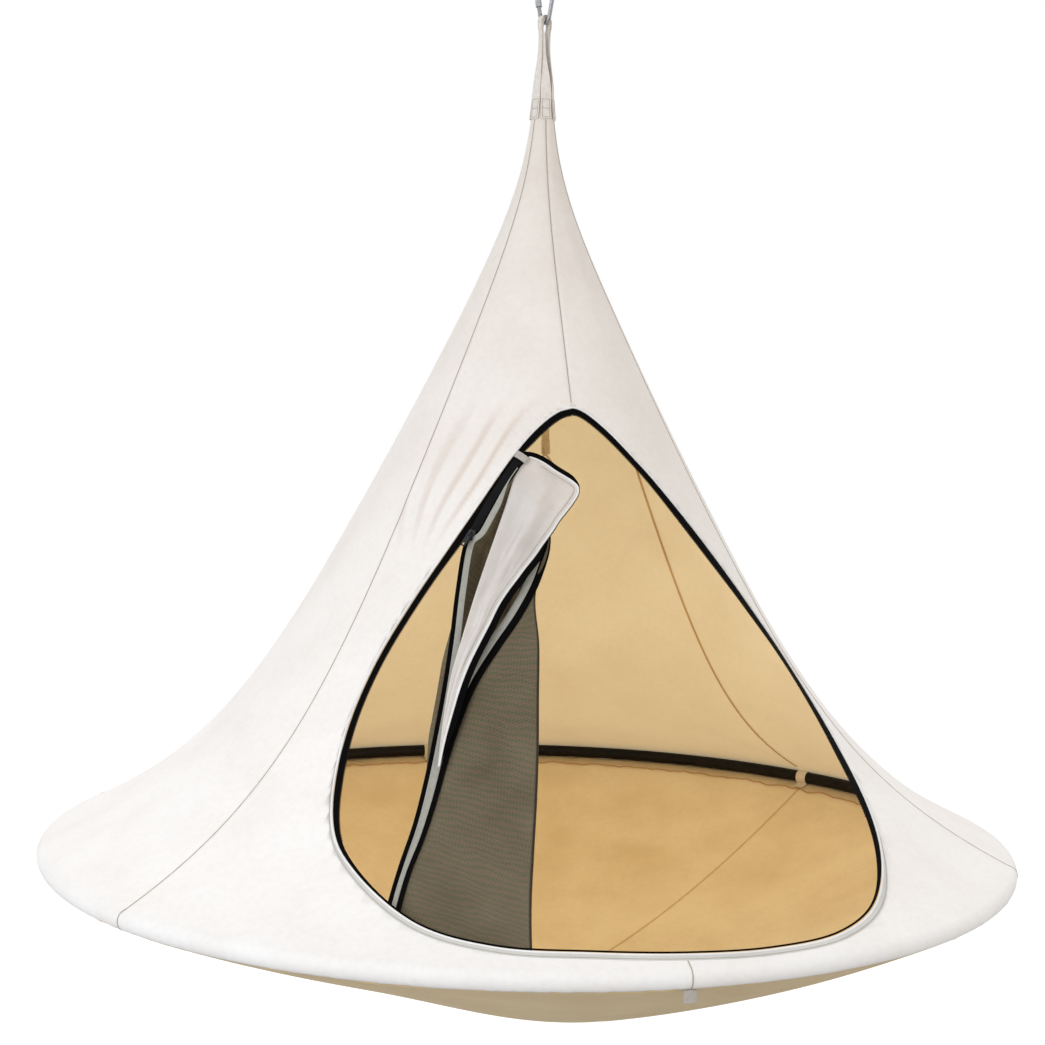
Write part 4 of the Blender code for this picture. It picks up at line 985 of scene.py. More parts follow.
class Finishes(Enum):
    """Every finish on the tent, by the piece that shows it first."""

    # Washed polycotton canvas, off-white outside: matt, faintly cloudy, soft at grazing light.
    # Real threads lie 0.5 mm apart and are drawn four times as coarse, so that they show.
    # Its upper part carries a painted shade towards the neck
    CANOPY_OUTSIDE = WovenCloth(
        "washed_polycotton_white", "FAF8F6", 0.86, uneven="F5F1EE", through=0.10,
        through_colour="FFFBF4", painted_top_shade="EDE7E1",
    )
    # The same canvas from inside, painted in the warm beige of the daylight that comes through it,
    # with a painted glow
    CANOPY_INSIDE = WovenCloth(
        "washed_polycotton_lit_beige", "DDD1B0", 0.88, uneven="D8CAA8", through=0.30,
        through_colour="F1E2CC", painted_glow=0.40,
    )
    # Heavier dyed canvas of the bowl: deeper beige, a little dusty
    FLOOR = WovenCloth(
        "dyed_canvas_beige", "DCC18B", 0.88, thread=0.0026, uneven="D2B47C", bump=0.45
    )
    # The same cloth from above, painted paler as lit by daylight through the canopy, with a painted
    # glow
    FLOOR_INSIDE = WovenCloth(
        "dyed_canvas_lit_beige", "E2CB9C", 0.88, thread=0.0026, uneven="D6BC8B", bump=0.45,
        painted_glow=0.20,
    )
    # Felled seams of the bowl, where two layers of its cloth look deeper
    FLOOR_SEAM = WovenCloth("felled_seam_beige", "E2C48F", 0.86, uneven="D6B67E")
    # Overlock thread at the flap's free edge
    OVERLOCK_THREAD = Webbing("overlock_thread_tan", "C8995F", 0.75, rib=0.0030, uneven="B08248")
    # Lighter dyed cloth of the door leaf, off-white with a cool fold shade
    DOOR_CLOTH = WovenCloth(
        "washed_polycotton_door", "F4EFEB", 0.84, uneven="E4DCD5", through=0.25,
        through_colour="E6DCCB",
    )
    # Selvedge strips of the canopy's cloth at its seams inside, in a darker tan that is painted
    # shade where the doubled cloth lets less daylight through
    SEAM_INSIDE = WovenCloth("overlocked_seam_shaded_tan", "CFAA72", 0.85, thread=0.0018, uneven="BC9660")
    # Overlocked edge of the bowl's cloth
    OVERLOCK = WovenCloth("overlocked_edge_beige", "E9D2A6", 0.85, uneven="DCC090")
    # Cotton-wrapped piping cord and hems, bright against the black tape
    PIPING = WovenCloth("cotton_piping_white", "F4F2F0", 0.75, thread=0.0014, uneven="E4E0DC")
    # Folded double hem below the doorway, painted grey as the shade along the sill
    HEM = WovenCloth("folded_canvas_hem_shaded", "D3D1CB", 0.85, uneven="C4C2BB")
    # Flat thread along the canopy's seams outside, greyer than the cloth
    THREAD = Webbing("twisted_polyester_thread", "BEB2A5", 0.6, rib=0.0030, uneven="8F8478")
    # Polyester webbing, woven in ribs 1.6 mm apart and dusty from handling
    WEBBING = Webbing("ribbed_polyester_webbing", "EFE8E1", 0.72, uneven="DDD3C9")
    # The same webbing as it looks inside, lit through the canopy
    WEBBING_INSIDE = Webbing("ribbed_webbing_lit_beige", "F2E8D4", 0.75, uneven="DCCDB2")
    # The same webbing in the shade of the canopy's top
    WEBBING_SHADED = Webbing("ribbed_webbing_shaded", "DDCAA8", 0.78, uneven="C8B28C")
    # The same webbing in a greyer tone
    TIE = Webbing("grey_webbing_tie", "C6C1B9", 0.74, uneven="9E968C")
    # Woven polyester zip tape with a slight glaze on its ribs
    ZIP_TAPE = Webbing(
        "woven_zip_tape_black", "0D0B0B", 0.80, rib=0.0018, uneven="060505", sheen=0.0, shine=0.03
    )
    # Coil of nylon monofilament, glossier than its tape
    ZIP_COIL = CoatedMetal("nylon_coil_black", "0C0B0B", 0.62, worn="141313", shine=0.1)
    # Bias-cut grosgrain round the net's edges
    BINDING = Webbing("grosgrain_binding_grey", "B3B2A9", 0.78, rib=0.0018, uneven="8B8A80")
    # Knitted polyester net, olive grey, with 2.4 mm meshes drawn coarser than the real 1.2 mm
    NET = NetCloth("knitted_mosquito_net", "8C8570", 0.88)
    # Powder-coated aluminium tube: satin black, with brownish rubbed places
    TUBE = CoatedMetal("powder_coated_tube_black", "0A0807", 0.50, worn="1B1511", shine=0.2)
    # Zinc die casting, painted black, bare on its corners
    SLIDER = CoatedMetal(
        "painted_zinc_black", "0F0F11", 0.42, metallic=0.1, worn="2A2A2C", wear=0.70
    )
    # Drawn and polished steel bar: bright, finely scratched
    STEEL = CoatedMetal(
        "polished_steel_bar", "A6A7AA", 0.22, metallic=1.0, worn="8A8A8C", bump=0.06
    )
    # Turned and knurled aluminium: paler and duller than the steel
    ALUMINIUM = CoatedMetal("turned_aluminium", "B9BBBD", 0.34, metallic=1.0, worn="97989A")
    # Drawn spring wire, darker than the bar
    SPRING = CoatedMetal("drawn_spring_wire", "9A9A9C", 0.3, metallic=1.0, worn="7C7C7E")

    def make(self) -> Material:
        """The material of this finish."""
        return self.value.material()


@dataclass
class Studio:
    """Camera at the photograph's view, a plain pale floor and soft white light."""

    camera_place: Place = (-0.9084, -3.2704, -0.7954)
    forward: Place = (0.26119, 0.96351, -0.05865)
    up: Place = (-0.00574, 0.0623, 0.99804)
    lens: float = 62.28
    floor_z: float = -2.75
    floor_size: float = 40.0
    ambient: float = 0.81
    lamps: dict[str, tuple[Place, float, float, str]] = field(
        default_factory=lambda: {
            "front_left": ((-5.3, -3.3, 0.1), 3.6, 153.0, "EEF5FF"),
            "front_right": ((3.4, -4.8, 0.6), 3.0, 55.0, WHITE),
            "behind": ((1.5, 5.0, 1.8), 3.4, 90.0, WHITE),
        }
    )
    aim: Place = (0.0, 0.0, -1.2)
    inside: Place = (0.10, 0.0, -1.32)
    inside_power: float = 2.45
    floor_brightness: float = 0.64
    daylight_softness: float = 0.45
    daylight_colour: str = "FFF4E2"

    def make_camera(self) -> None:
        """Stands the camera where the photograph was taken from."""
        data = bpy.data.cameras.new("photo_camera")
        data.lens = self.lens
        data.sensor_width = 36.0
        data.clip_start, data.clip_end = 0.01, 100.0
        forward = Vector(self.forward).normalized()
        right = forward.cross(Vector(self.up)).normalized()
        turn = Matrix((right, right.cross(forward), -forward)).transposed().to_4x4()
        where = Matrix.Translation(self.camera_place) @ turn
        bpy.context.scene.camera = placed("photo_camera", data, where)

    def make_floor(self) -> None:
        """A plain pale floor that keeps the tent's shadow."""
        bm = bmesh.new()
        bmesh.ops.create_grid(bm, x_segments=1, y_segments=1, size=self.floor_size / 2)
        bmesh.ops.translate(bm, verts=bm.verts, vec=(0, 0, self.floor_z))
        mesh = mesh_from("studio_floor", bm)
        material, tree, shader = Finish("painted_studio_floor", "BEBEBE", 0.9).shader()
        shader.inputs["Specular IOR Level"].default_value = 0.1
        shader.inputs["Emission Color"].default_value = linear(WHITE)
        path = add_node(tree, "LightPath")
        lift = add_node(
            tree,
            "Math",
            {"operation": "MULTIPLY", 1: self.floor_brightness},
            {0: path[Ray.CAMERA.value]},
        )
        tree.links.new(lift["Value"], shader.inputs["Emission Strength"])
        mesh.materials.append(material)
        placed("studio_floor", mesh)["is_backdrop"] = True

    def make_world(self) -> None:
        """White surroundings for what sees them, and a plainer light on the tent."""
        world = bpy.data.worlds.new("studio")
        world.use_nodes = True
        bpy.context.scene.world = world
        tree = world.node_tree
        tree.nodes.clear()
        path = add_node(tree, "LightPath")
        seen = path[Ray.CAMERA.value]
        for ray in (Ray.GLOSSY, Ray.TRANSMISSION):
            either = {0: seen, 1: path[ray.value]}
            seen = add_node(tree, "Math", {"operation": "MAXIMUM"}, either)["Value"]
        light, white = (
            add_node(
                tree, "Background", {"Color": linear(WHITE), "Strength": strength}
            )["Background"]
            for strength in (self.ambient, 1.0)
        )
        mix = add_node(tree, "MixShader", links={0: seen, 1: light, 2: white})
        add_node(tree, "OutputWorld", links={"Surface": mix["Shader"]})

    def make_lamps(self) -> None:
        """Large soft lamps round the tent."""
        for name, (place, size, power, colour) in self.lamps.items():
            data = bpy.data.lights.new(name, "AREA")
            data.size = size
            data.energy = power
            data.color = linear(colour)[:3]
            turn = (Vector(self.aim) - Vector(place)).to_track_quat("-Z", "Y").to_matrix().to_4x4()
            placed(name, data, Matrix.Translation(place) @ turn)

    def make_daylight_inside(self) -> None:
        """Daylight that the white cloth lets through from all sides, as one soft warm lamp."""
        data = bpy.data.lights.new("daylight_inside", "POINT")
        data.shadow_soft_size = self.daylight_softness
        data.energy = self.inside_power
        data.color = linear(self.daylight_colour)[:3]
        lamp = placed("daylight_inside", data, Matrix.Translation(self.inside))
        lamp.visible_camera = False

    def build(self) -> None:
        """Makes the whole studio."""
        bpy.context.scene.view_settings.view_transform = "Standard"
        self.make_camera()
        self.make_floor()
        self.make_world()
        self.make_lamps()
        self.make_daylight_inside()


def door_distance(x: float, height: float, outline: Sequence[Spot]) -> float:
    """How far a place in elevation lies from the doorway's outline.

    Args:
        x: The place's x in elevation.
        height: Its height.
        outline: The outline as a closed line.

    Returns:
        The distance, 1 m at most.
    """
    nearest = 1.0
    for (ax, ay), (bx, by) in zip(outline, outline[1:]):
        dx, dy = bx - ax, by - ay
        t = ((x - ax) * dx + (height - ay) * dy) / (dx * dx + dy * dy)
        t = min(max(t, 0.0), 1.0)
        nearest = min(nearest, hypot(x - ax - t * dx, height - ay - t * dy))
    return nearest


@dataclass
class Canopy:
    """The stretched canopy: one sheet of white cloth from the neck to the seam under the ring."""

    tied_gore: int = 2
    fine_columns: int = 120
    columns: int = 40
    fine_rows: tuple[float, float, float] = (0.54, 0.90, 0.008)
    row_height: float = 0.024
    wrap_rows: int = 8
    # The canopy's wrap ends at the floor's angle less this, just above the seam under the ring
    hidden_lap: float = 89.2
    wrinkle: float = 0.0062
    wrinkle_spacing: float = 0.031
    wrinkle_reach: float = 0.085
    fan_foot: float = 0.500
    fan_head: float = 0.806
    fan_side: float = 0.03
    seam_dent: float = 0.0009
    hollow: float = 0.0045
    wave: float = 0.0028
    pucker: float = 0.0009
    seam_end: float = -60.0
    sill_seam_top: float = 0.0215
    seam_width: float = 0.0016
    seam_height: float = 0.0007
    seam_lift: float = 0.0005
    allowance_width: float = 0.0052
    allowance_thickness: float = 0.0012
    # Area of the opening in the sloping cloth, for each square metre of it in elevation
    opening_slope: float = 1.15

    @cached_property
    def outline(self) -> list[Spot]:
        """The doorway's cut edge in elevation, as a closed line."""
        return evenly(closed(SHAPE.door_loop(-DoorEdge().cut)), 0.02)

    def azimuths(self) -> list[float]:
        """Columns of the grid, closer together at the seams and in the tied gore.

        Returns:
            Their azimuths from -180 to 180 degrees.
        """
        angles = []
        for gore in range(SHAPE.gores):
            start = -180.0 + gore * SHAPE.gore_angle
            fine = gore == self.tied_gore
            count, pull = (self.fine_columns, 0.5) if fine else (self.columns, 0.82)
            for i in range(count):
                t = i / count
                angles.append(start + SHAPE.gore_angle * (t - pull * sin(2 * pi * t) / (2 * pi)))
        return [*angles, 180.0]

    def lines(self) -> list[Spot]:
        """Radius and height of each row of the grid.

        Returns:
            The rows from the neck down and round the ring.
        """
        low, high, step = self.fine_rows
        top, foot = SHAPE.top, SHAPE.wrap_leave[1]
        heights = []
        for start, stop, height in ((top, high, self.row_height), (high, low, step)):
            count = round((start - stop) / height)
            heights += [start + (stop - start) * i / count for i in range(count)]
        count = round((low - foot) / self.row_height) + 6
        heights += [low + (foot - low) * sin(pi / 2 * i / count) for i in range(count)]
        rows = [(SHAPE.radius(height), height) for height in heights]
        ring, leave = (SHAPE.ring_radius, 0.0), 90.0 - SHAPE.rim_angle
        return rows + arc(
            ring, SHAPE.wrap_outer, leave, SHAPE.floor_angle - self.hidden_lap, self.wrap_rows
        )

    def pull(self, x: float, height: float) -> Spot:
        """How high the slanting wrinkles beside the tie stand at a place, and how shaded it is.

        Args:
            x: Place in elevation.
            height: Height there.

        Returns:
            Shares of the wrinkles' height and of the shade on their lee side.
        """
        spread = max(height - self.fan_foot, 0.0) / (self.fan_head - self.fan_foot)
        if x > self.fan_side or spread < 0.05:
            return 0.0, 0.0
        spread **= 0.6
        distance = door_distance(x, height, self.outline)
        reach = exp(-((distance / self.wrinkle_reach) ** 2)) * eased((distance - 0.003) / 0.014)
        reach *= eased((self.fan_side - x) / 0.05)
        reach *= eased((height - 0.54) / 0.13) * eased((0.845 - height) / 0.09)
        side = 1.25 * distance / spread
        uneven = noisy(9 * x, 4 * height, 0.7)
        turn = 2 * pi * (side / self.wrinkle_spacing) ** 0.85 + 1.8 * uneven
        ridge = (0.5 + 0.5 * cos(turn)) ** 1.6 - 0.42
        return ridge * reach * min(spread, 1.0), eased(sin(turn)) * reach

    def relief(self, azimuth: float, radius: float, height: float) -> float:
        """How far the cloth stands out of its smooth shape: seams, wrinkles and waves.

        Args:
            azimuth: Place round the tent, in degrees.
            radius: Radius of the smooth shape there.
            height: Height there.

        Returns:
            The distance outward, negative inward.
        """
        a = radians(azimuth)
        from_seam = SHAPE.from_seam(azimuth, radius)
        relief = -self.seam_dent * exp(-((from_seam / 0.004) ** 2))
        calm = eased((SHAPE.top - 0.16 - height) / 0.25) * eased((height - 0.02) / 0.10)
        if abs(azimuth) > SHAPE.gore_angle:
            share = min(from_seam / (radians(SHAPE.gore_angle) * radius), 1.0)
            relief -= self.hollow * calm * sin(pi * share) ** 2
        relief += self.wave * calm * noisy(3.1 * sin(a), 3.1 * cos(a), 2.6 * height)
        if abs(azimuth) < 75.0 and height < 0.95:
            x = radius * sin(a)
            relief *= eased((door_distance(x, height, self.outline) - 0.004) / 0.060)
            relief += self.wrinkle * self.pull(x, height)[0]
        return relief

    def make_sheet(self) -> None:
        """The cloth itself, with the doorway cut out of it."""
        angles, rows = self.azimuths(), self.lines()
        runs = run_lengths(rows)

        def place(i: int, j: int) -> Vector:
            """Where a point of the cloth lies.

            Args:
                i: The point's column.
                j: Its row.

            Returns:
                The point's place in the frame.
            """
            azimuth, (radius, height) = angles[i], rows[j]
            if j >= len(rows) - self.wrap_rows:
                tube = Vector((radius - SHAPE.ring_radius, height))
                under = eased((j - len(rows) + self.wrap_rows) / self.wrap_rows)
                out = noisy(azimuth * 0.9, 0.0, 5.0) * self.pucker * under
                tube = tube * (1 + out / tube.length)
                return SHAPE.place(azimuth, SHAPE.ring_radius + tube.x, tube.y)
            out, lean = self.relief(azimuth, radius, height), SHAPE.lean(height)
            size = sqrt(1 + lean * lean)
            return SHAPE.place(azimuth, radius + out / size, height + out * lean / size)

        def weave(i: int, j: int) -> Vector:
            """A point's coordinates on the flat cloth.

            Args:
                i: The point's column.
                j: Its row.

            Returns:
                Where it lies across and along its gore, and how shaded it is.
            """
            azimuth, (radius, height) = angles[i], rows[j]
            shade = 0.0
            if -SHAPE.gore_angle < azimuth < 5.0 and height > self.fan_foot:
                shade = self.pull(radius * sin(radians(azimuth)), height)[1]
            return Vector((SHAPE.from_gore_middle(azimuth, radius), runs[j], shade))

        bm = gridded(len(angles) - 1, len(rows) - 1, place, weave)
        bmesh.ops.remove_doubles(bm, verts=bm.verts, dist=0.00005)
        bmesh.ops.recalc_face_normals(bm, faces=bm.faces)
        if sum(face.normal.z for face in bm.faces) < 0:
            bmesh.ops.reverse_faces(bm, faces=bm.faces)
        area = sum(face.calc_area() for face in bm.faces)
        nodes = [f"canopy_gore_{i + 1}" for i in range(SHAPE.gores)]
        outside, inside = Finishes.CANOPY_OUTSIDE, Finishes.CANOPY_INSIDE
        piece = finished("canopy", bm, outside, "canopy_cloth", nodes, 60.0, lining=inside)
        thickened(piece, SHAPE.cloth, -1.0)
        self.cut_doorway(piece)
        self.declare(runs[-1])

    def cut_doorway(self, piece: Object) -> None:
        """Cuts the doorway's outline straight through the front of the canopy.

        Args:
            piece: The canopy.
        """
        near, far = -SHAPE.rim_diameter, -0.02
        outline = SHAPE.door_loop(-DoorEdge().cut)
        bm = bmesh.new()
        verts = [bm.verts.new((x, near, SHAPE.ring_z + height)) for x, height in outline]
        bmesh.ops.contextual_create(bm, geom=verts)
        made = bmesh.ops.extrude_face_region(bm, geom=bm.faces[:])["geom"]
        bmesh.ops.translate(bm, verts=only(BMVert, made), vec=(0, far - near, 0))
        bmesh.ops.recalc_face_normals(bm, faces=bm.faces)
        cutter = placed("doorway_cutter", mesh_from("doorway_cutter", bm))
        cut = piece.modifiers.new("doorway", "BOOLEAN")
        cut.operation = "DIFFERENCE"
        cut.object = cutter
        apply_modifiers(piece)
        bpy.data.objects.remove(cutter, do_unlink=True)

    def declare(self, length: float) -> None:
        """Works out the area of the doorway's opening in elevation, which is not used further.

        Args:
            length: Length of a gore, which is not used.
        """
        outline = closed(SHAPE.door_loop(0.0))
        opening = sum((ax * by - bx * ay) / 2 for (ax, ay), (bx, by) in zip(outline, outline[1:]))

    def seam_stations(self, azimuth: float, lift: float, foot: float, head: float) -> list[Matrix]:
        """Stations down a seam of the canopy.

        Args:
            azimuth: The seam's azimuth in degrees.
            lift: Distance outward from the canopy's outer face.
            foot: Height of the lower end.
            head: Height of the upper end.

        Returns:
            The stations, X round the tent and Y outward.
        """
        across, outward = SHAPE.directions(azimuth)
        stations = []
        count = max(round((head - foot) / 0.016), 2)
        for i in range(count + 1):
            height = max(head + (foot - head) * (1 - cos(pi / 2 * i / count)) ** 0.8, foot)
            normal = (outward + UP * SHAPE.lean(height)).normalized()
            radius = SHAPE.radius(height)
            out = lift + self.relief(azimuth, radius, height)
            point = SHAPE.place(azimuth, radius, height) + normal * out
            stations.append(station(point, across, normal))
        return stations

    def rim_stations(self, azimuth: float) -> list[Matrix]:
        """Stations of a seam on round the ring, from where the cloth meets it to under the rim.

        Args:
            azimuth: The seam's azimuth in degrees.

        Returns:
            The stations, X round the tent and Y outward.
        """
        across, outward = SHAPE.directions(azimuth)
        centre = SHAPE.place(azimuth, SHAPE.ring_radius, 0.0)
        stations = []
        for a, b in arc((0.0, 0.0), 1.0, 90.0 - SHAPE.rim_angle, self.seam_end, 10):
            normal = outward * a + UP * b
            point = centre + normal * (SHAPE.wrap_outer + self.seam_lift)
            stations.append(station(point, across, normal))
        return stations

    def make_seams(self) -> None:
        """Thread along each seam outside, and the sewn allowance inside."""
        thread = rounded_section(self.seam_width, self.seam_height)
        strip = rounded_section(self.allowance_width, self.allowance_thickness)
        inset = -SHAPE.cloth - self.allowance_thickness / 2 - 0.0006
        leave, neck = SHAPE.wrap_leave[1], SHAPE.canopy_rise
        outside, inside = [], []
        for azimuth in SHAPE.seam_azimuths():
            foot = SHAPE.doorway[0][1] + 0.010 if azimuth == 0 else leave + 0.004
            spans = [(foot, neck - 0.002)]
            if azimuth == 0:
                spans.append((leave + 0.001, self.sill_seam_top))
            lines = [self.seam_stations(azimuth, self.seam_lift, *span) for span in spans]
            lines[-1] += self.rim_stations(azimuth)
            outside += [swept(thread, line) for line in lines]
            line = self.seam_stations(azimuth, inset, foot + 0.012, neck - 0.05)
            inside.append(swept(strip, line))
        for name, parts, finish in (
            ("canopy_seam_thread", outside, Finishes.THREAD),
            ("canopy_seam_allowances", inside, Finishes.SEAM_INSIDE),
        ):
            finished(name, joined(parts), finish, "canopy_cloth")

    def build(self) -> None:
        """Makes the canopy and its seams."""
        self.make_sheet()
        self.make_seams()


@dataclass
class Bowl:
    """The bowl of beige cloth under the ring, its panel seams and its overlocked edge."""

    columns: int = 240
    rows: int = 46
    pucker: float = 0.0012
    dent: float = 0.0045
    pinch: float = 0.0010
    sag: float = 0.030
    seam_steps: int = 39
    flap_columns: int = 480
    flap_rows: int = 8
    flap_width: float = 0.027
    flap_curl: float = 0.0035
    flap_thickness: float = 0.0011

    def relief(self, azimuth: float, radius: float) -> float:
        """Puckers at the sewn edge, soft dents where it is used most, and pinched seams.

        Args:
            azimuth: Place round the tent, in degrees.
            radius: Distance from the tent's axis.

        Returns:
            How far the cloth stands above its smooth shape.
        """
        edge = SHAPE.seam[0]
        a = radians(azimuth)
        near_edge = exp(-(edge - radius) / 0.045)
        gathers = noisy(azimuth * 0.55, 0.3, radius * 4)
        dents = noisy(2.3 * radius * sin(a) + 4.0, 2.3 * radius * cos(a), 1.7)
        inner = eased((edge - radius) / 0.25)
        from_seam = SHAPE.from_seam(azimuth, radius)
        pinch = self.pinch * exp(-((from_seam / 0.005) ** 2)) * eased(radius / 0.1)
        laden = -0.45 + 1.45 * eased((radius * sin(a) + 0.40) / 0.42)
        hang = self.sag * laden * (1 - (radius / edge) ** 2)
        return self.pucker * near_edge * gathers * 2 + self.dent * inner * dents + pinch - hang

    def place(self, azimuth: float, radius: float, lift: float = 0.0) -> Vector:
        """A point of the bowl's underside, raised by its relief and a lift."""
        height = SHAPE.floor_height(radius) + self.relief(azimuth, radius) + lift
        return SHAPE.place(azimuth, radius, height)

    def make_sheet(self) -> None:
        """The bowl's cloth."""
        edge = SHAPE.seam[0]
        radii = [edge * (1 - (j / self.rows) ** 1.35) for j in range(self.rows + 1)]
        radii[-1] = 0.0015
        angles = [-180.0 + 360.0 * i / self.columns for i in range(self.columns + 1)]

        def weave(i: int, j: int) -> Vector:
            """A point's coordinates on the flat cloth."""
            return Vector((SHAPE.from_gore_middle(angles[i], radii[j]), edge - radii[j], 0.0))

        bm = gridded(self.columns, self.rows, lambda i, j: self.place(angles[i], radii[j]), weave)
        bmesh.ops.remove_doubles(bm, verts=bm.verts, dist=0.00004)
        hole = [rim for rim in bm.edges if rim.is_boundary and rim.calc_length() < 0.001]
        bmesh.ops.holes_fill(bm, edges=hole, sides=0)
        bmesh.ops.recalc_face_normals(bm, faces=bm.faces)
        if sum(face.normal.z for face in bm.faces) > 0:
            bmesh.ops.reverse_faces(bm, faces=bm.faces)
        area = sum(face.calc_area() for face in bm.faces)
        nodes = [f"floor_panel_{i + 1}" for i in range(SHAPE.gores)]
        outside, inside = Finishes.FLOOR, Finishes.FLOOR_INSIDE
        piece = finished("floor_bowl", bm, outside, "floor_cloth", nodes, 60.0, lining=inside)
        thickened(piece, SHAPE.cloth, -1.0)
        width, length = 2 * pi * edge, sqrt(edge**2 + SHAPE.floor_drop**2)
        area = min(area, width * length)

    def make_seams(self) -> None:
        """Stitched seams between the panels, seen from inside as fine raised lines."""
        section = rounded_section(0.0046, 0.0008)
        outer, length, lift = SHAPE.seam[0] - 0.02, SHAPE.seam[0] - 0.06, SHAPE.cloth + 0.0006
        radii = [outer - length * j / self.seam_steps for j in range(self.seam_steps + 1)]
        parts = []
        for azimuth in SHAPE.seam_azimuths():
            across, _ = SHAPE.directions(azimuth)
            line = [station(self.place(azimuth, radius, lift), across, UP) for radius in radii]
            parts.append(swept(section, line))
        finished("floor_seam_stitching", joined(parts), Finishes.FLOOR_SEAM, "floor_cloth")

    def flap_place(self, i: int, j: int) -> Vector:
        """Where a point of the overlocked allowance lies.

        Args:
            i: The point's column.
            j: Its row.

        Returns:
            The point's place in the frame.
        """
        azimuth = -180.0 + 360.0 * i / self.flap_columns
        t = j / self.flap_rows
        width = self.flap_width * (1 + 0.30 * noisy(azimuth * 0.42, 2.0, 0.0))
        curl = self.flap_curl * t * t * (1 + 1.3 * noisy(azimuth * 0.75, 9.0, 0.0))
        lift = SHAPE.cloth + 0.0012 + max(curl, 0.0)
        return self.place(azimuth, SHAPE.seam[0] - 0.004 - width * t, lift)

    def make_flap(self) -> None:
        """The overlocked allowance of the ring seam, which lies wavy on the bowl inside."""
        length = (SHAPE.seam[0] - 0.004) * 2 * pi
        bm = gridded(
            self.flap_columns,
            self.flap_rows,
            self.flap_place,
            lambda i, j: Vector((length * i / self.flap_columns, 0.003 * j, 0.0)),
        )
        bmesh.ops.remove_doubles(bm, verts=bm.verts, dist=0.00005)
        bmesh.ops.recalc_face_normals(bm, faces=bm.faces)
        piece = finished("floor_overlocked_edge", bm, Finishes.OVERLOCK, "floor_cloth", (), 70.0)
        thickened(piece, self.flap_thickness, 0.0)
        stations = []
        for i in range(self.flap_columns):
            _, outward = SHAPE.directions(-180.0 + 360.0 * i / self.flap_columns)
            point = self.flap_place(i, self.flap_rows) + UP * 0.0006
            stations.append(station(point, outward, UP))
        thread = swept(rounded_section(0.0032, 0.0018), stations, True)
        finished("floor_overlock_thread", thread, Finishes.OVERLOCK_THREAD, "floor_cloth")

    def build(self) -> None:
        """Makes the bowl, its seams and its edge."""
        self.make_sheet()
        self.make_seams()
        self.make_flap()


@dataclass
class Ring:
    """Six smooth black tubes that meet halfway between the seams, and their keepers."""

    sides: int = 28
    steps: int = 40
    gap: float = 0.0003
    keeper_width: float = 0.025
    keeper_thickness: float = 0.0012
    keeper_tail: tuple[Spot, ...] = ((-0.0205, -0.0190), (-0.0145, -0.0176), (-0.0080, -0.0158))

    def make_tubes(self) -> None:
        """A circle spun from one joint to the next for each tube."""
        lap = degrees(self.gap / 2 / SHAPE.ring_radius)
        for i in range(SHAPE.gores):
            start = (i + 0.5) * SHAPE.gore_angle + lap
            bm = bmesh.new()
            radius = SHAPE.tube_radius
            bmesh.ops.create_circle(bm, cap_ends=False, segments=self.sides, radius=radius)
            stand = Matrix.Rotation(radians(start), 4, "Z") @ Matrix.Translation(
                (0, -SHAPE.ring_radius, SHAPE.ring_z)
            )
            bmesh.ops.transform(bm, matrix=stand @ Matrix.Rotation(pi / 2, 4, "Y"), verts=bm.verts)
            first = bm.edges[:]
            made = bmesh.ops.spin(
                bm,
                geom=bm.verts[:] + bm.edges[:],
                cent=(0, 0, 0),
                axis=(0, 0, 1),
                dvec=(0, 0, 0),
                angle=radians(SHAPE.gore_angle - 2 * lap),
                steps=self.steps,
                use_merge=False,
                use_duplicate=False,
            )
            last = only(BMEdge, made["geom_last"])
            for loop in (first, last):
                bmesh.ops.contextual_create(bm, geom=loop)
            bmesh.ops.recalc_face_normals(bm, faces=bm.faces)
            name = f"ring_tube_{i + 1}"
            finished(f"smooth_{name}", bm, Finishes.TUBE, "black_tube", [name])

    def make_keepers(self) -> None:
        """Webbing over the tube at each seam, sewn down to the ring seam below it."""
        reach = SHAPE.tube_radius + 0.0003 + self.keeper_thickness / 2
        places = [(out, up, 0.3, 1.0) for out, up in self.keeper_tail]
        round_tube = arc((0.0, 0.0), 1.0, -115.0, -295.0, 14)
        places += [(reach * x, reach * y, x, y) for x, y in round_tube]
        section = rounded_section(self.keeper_width, self.keeper_thickness)
        for i, azimuth in enumerate(SHAPE.seam_azimuths()):
            across, outward = SHAPE.directions(azimuth)
            stations = []
            for out, up, x, y in places:
                point = SHAPE.place(azimuth, SHAPE.ring_radius + out, up)
                stations.append(station(point, across, outward * x + UP * y))
            bm, node = swept(section, stations), f"ring_keeper_{i + 1}"
            finished(f"webbing_{node}", bm, Finishes.WEBBING_INSIDE, "pale_webbing", [node])

    def build(self) -> None:
        """Makes the tubes and their keepers."""
        self.make_tubes()
        self.make_keepers()


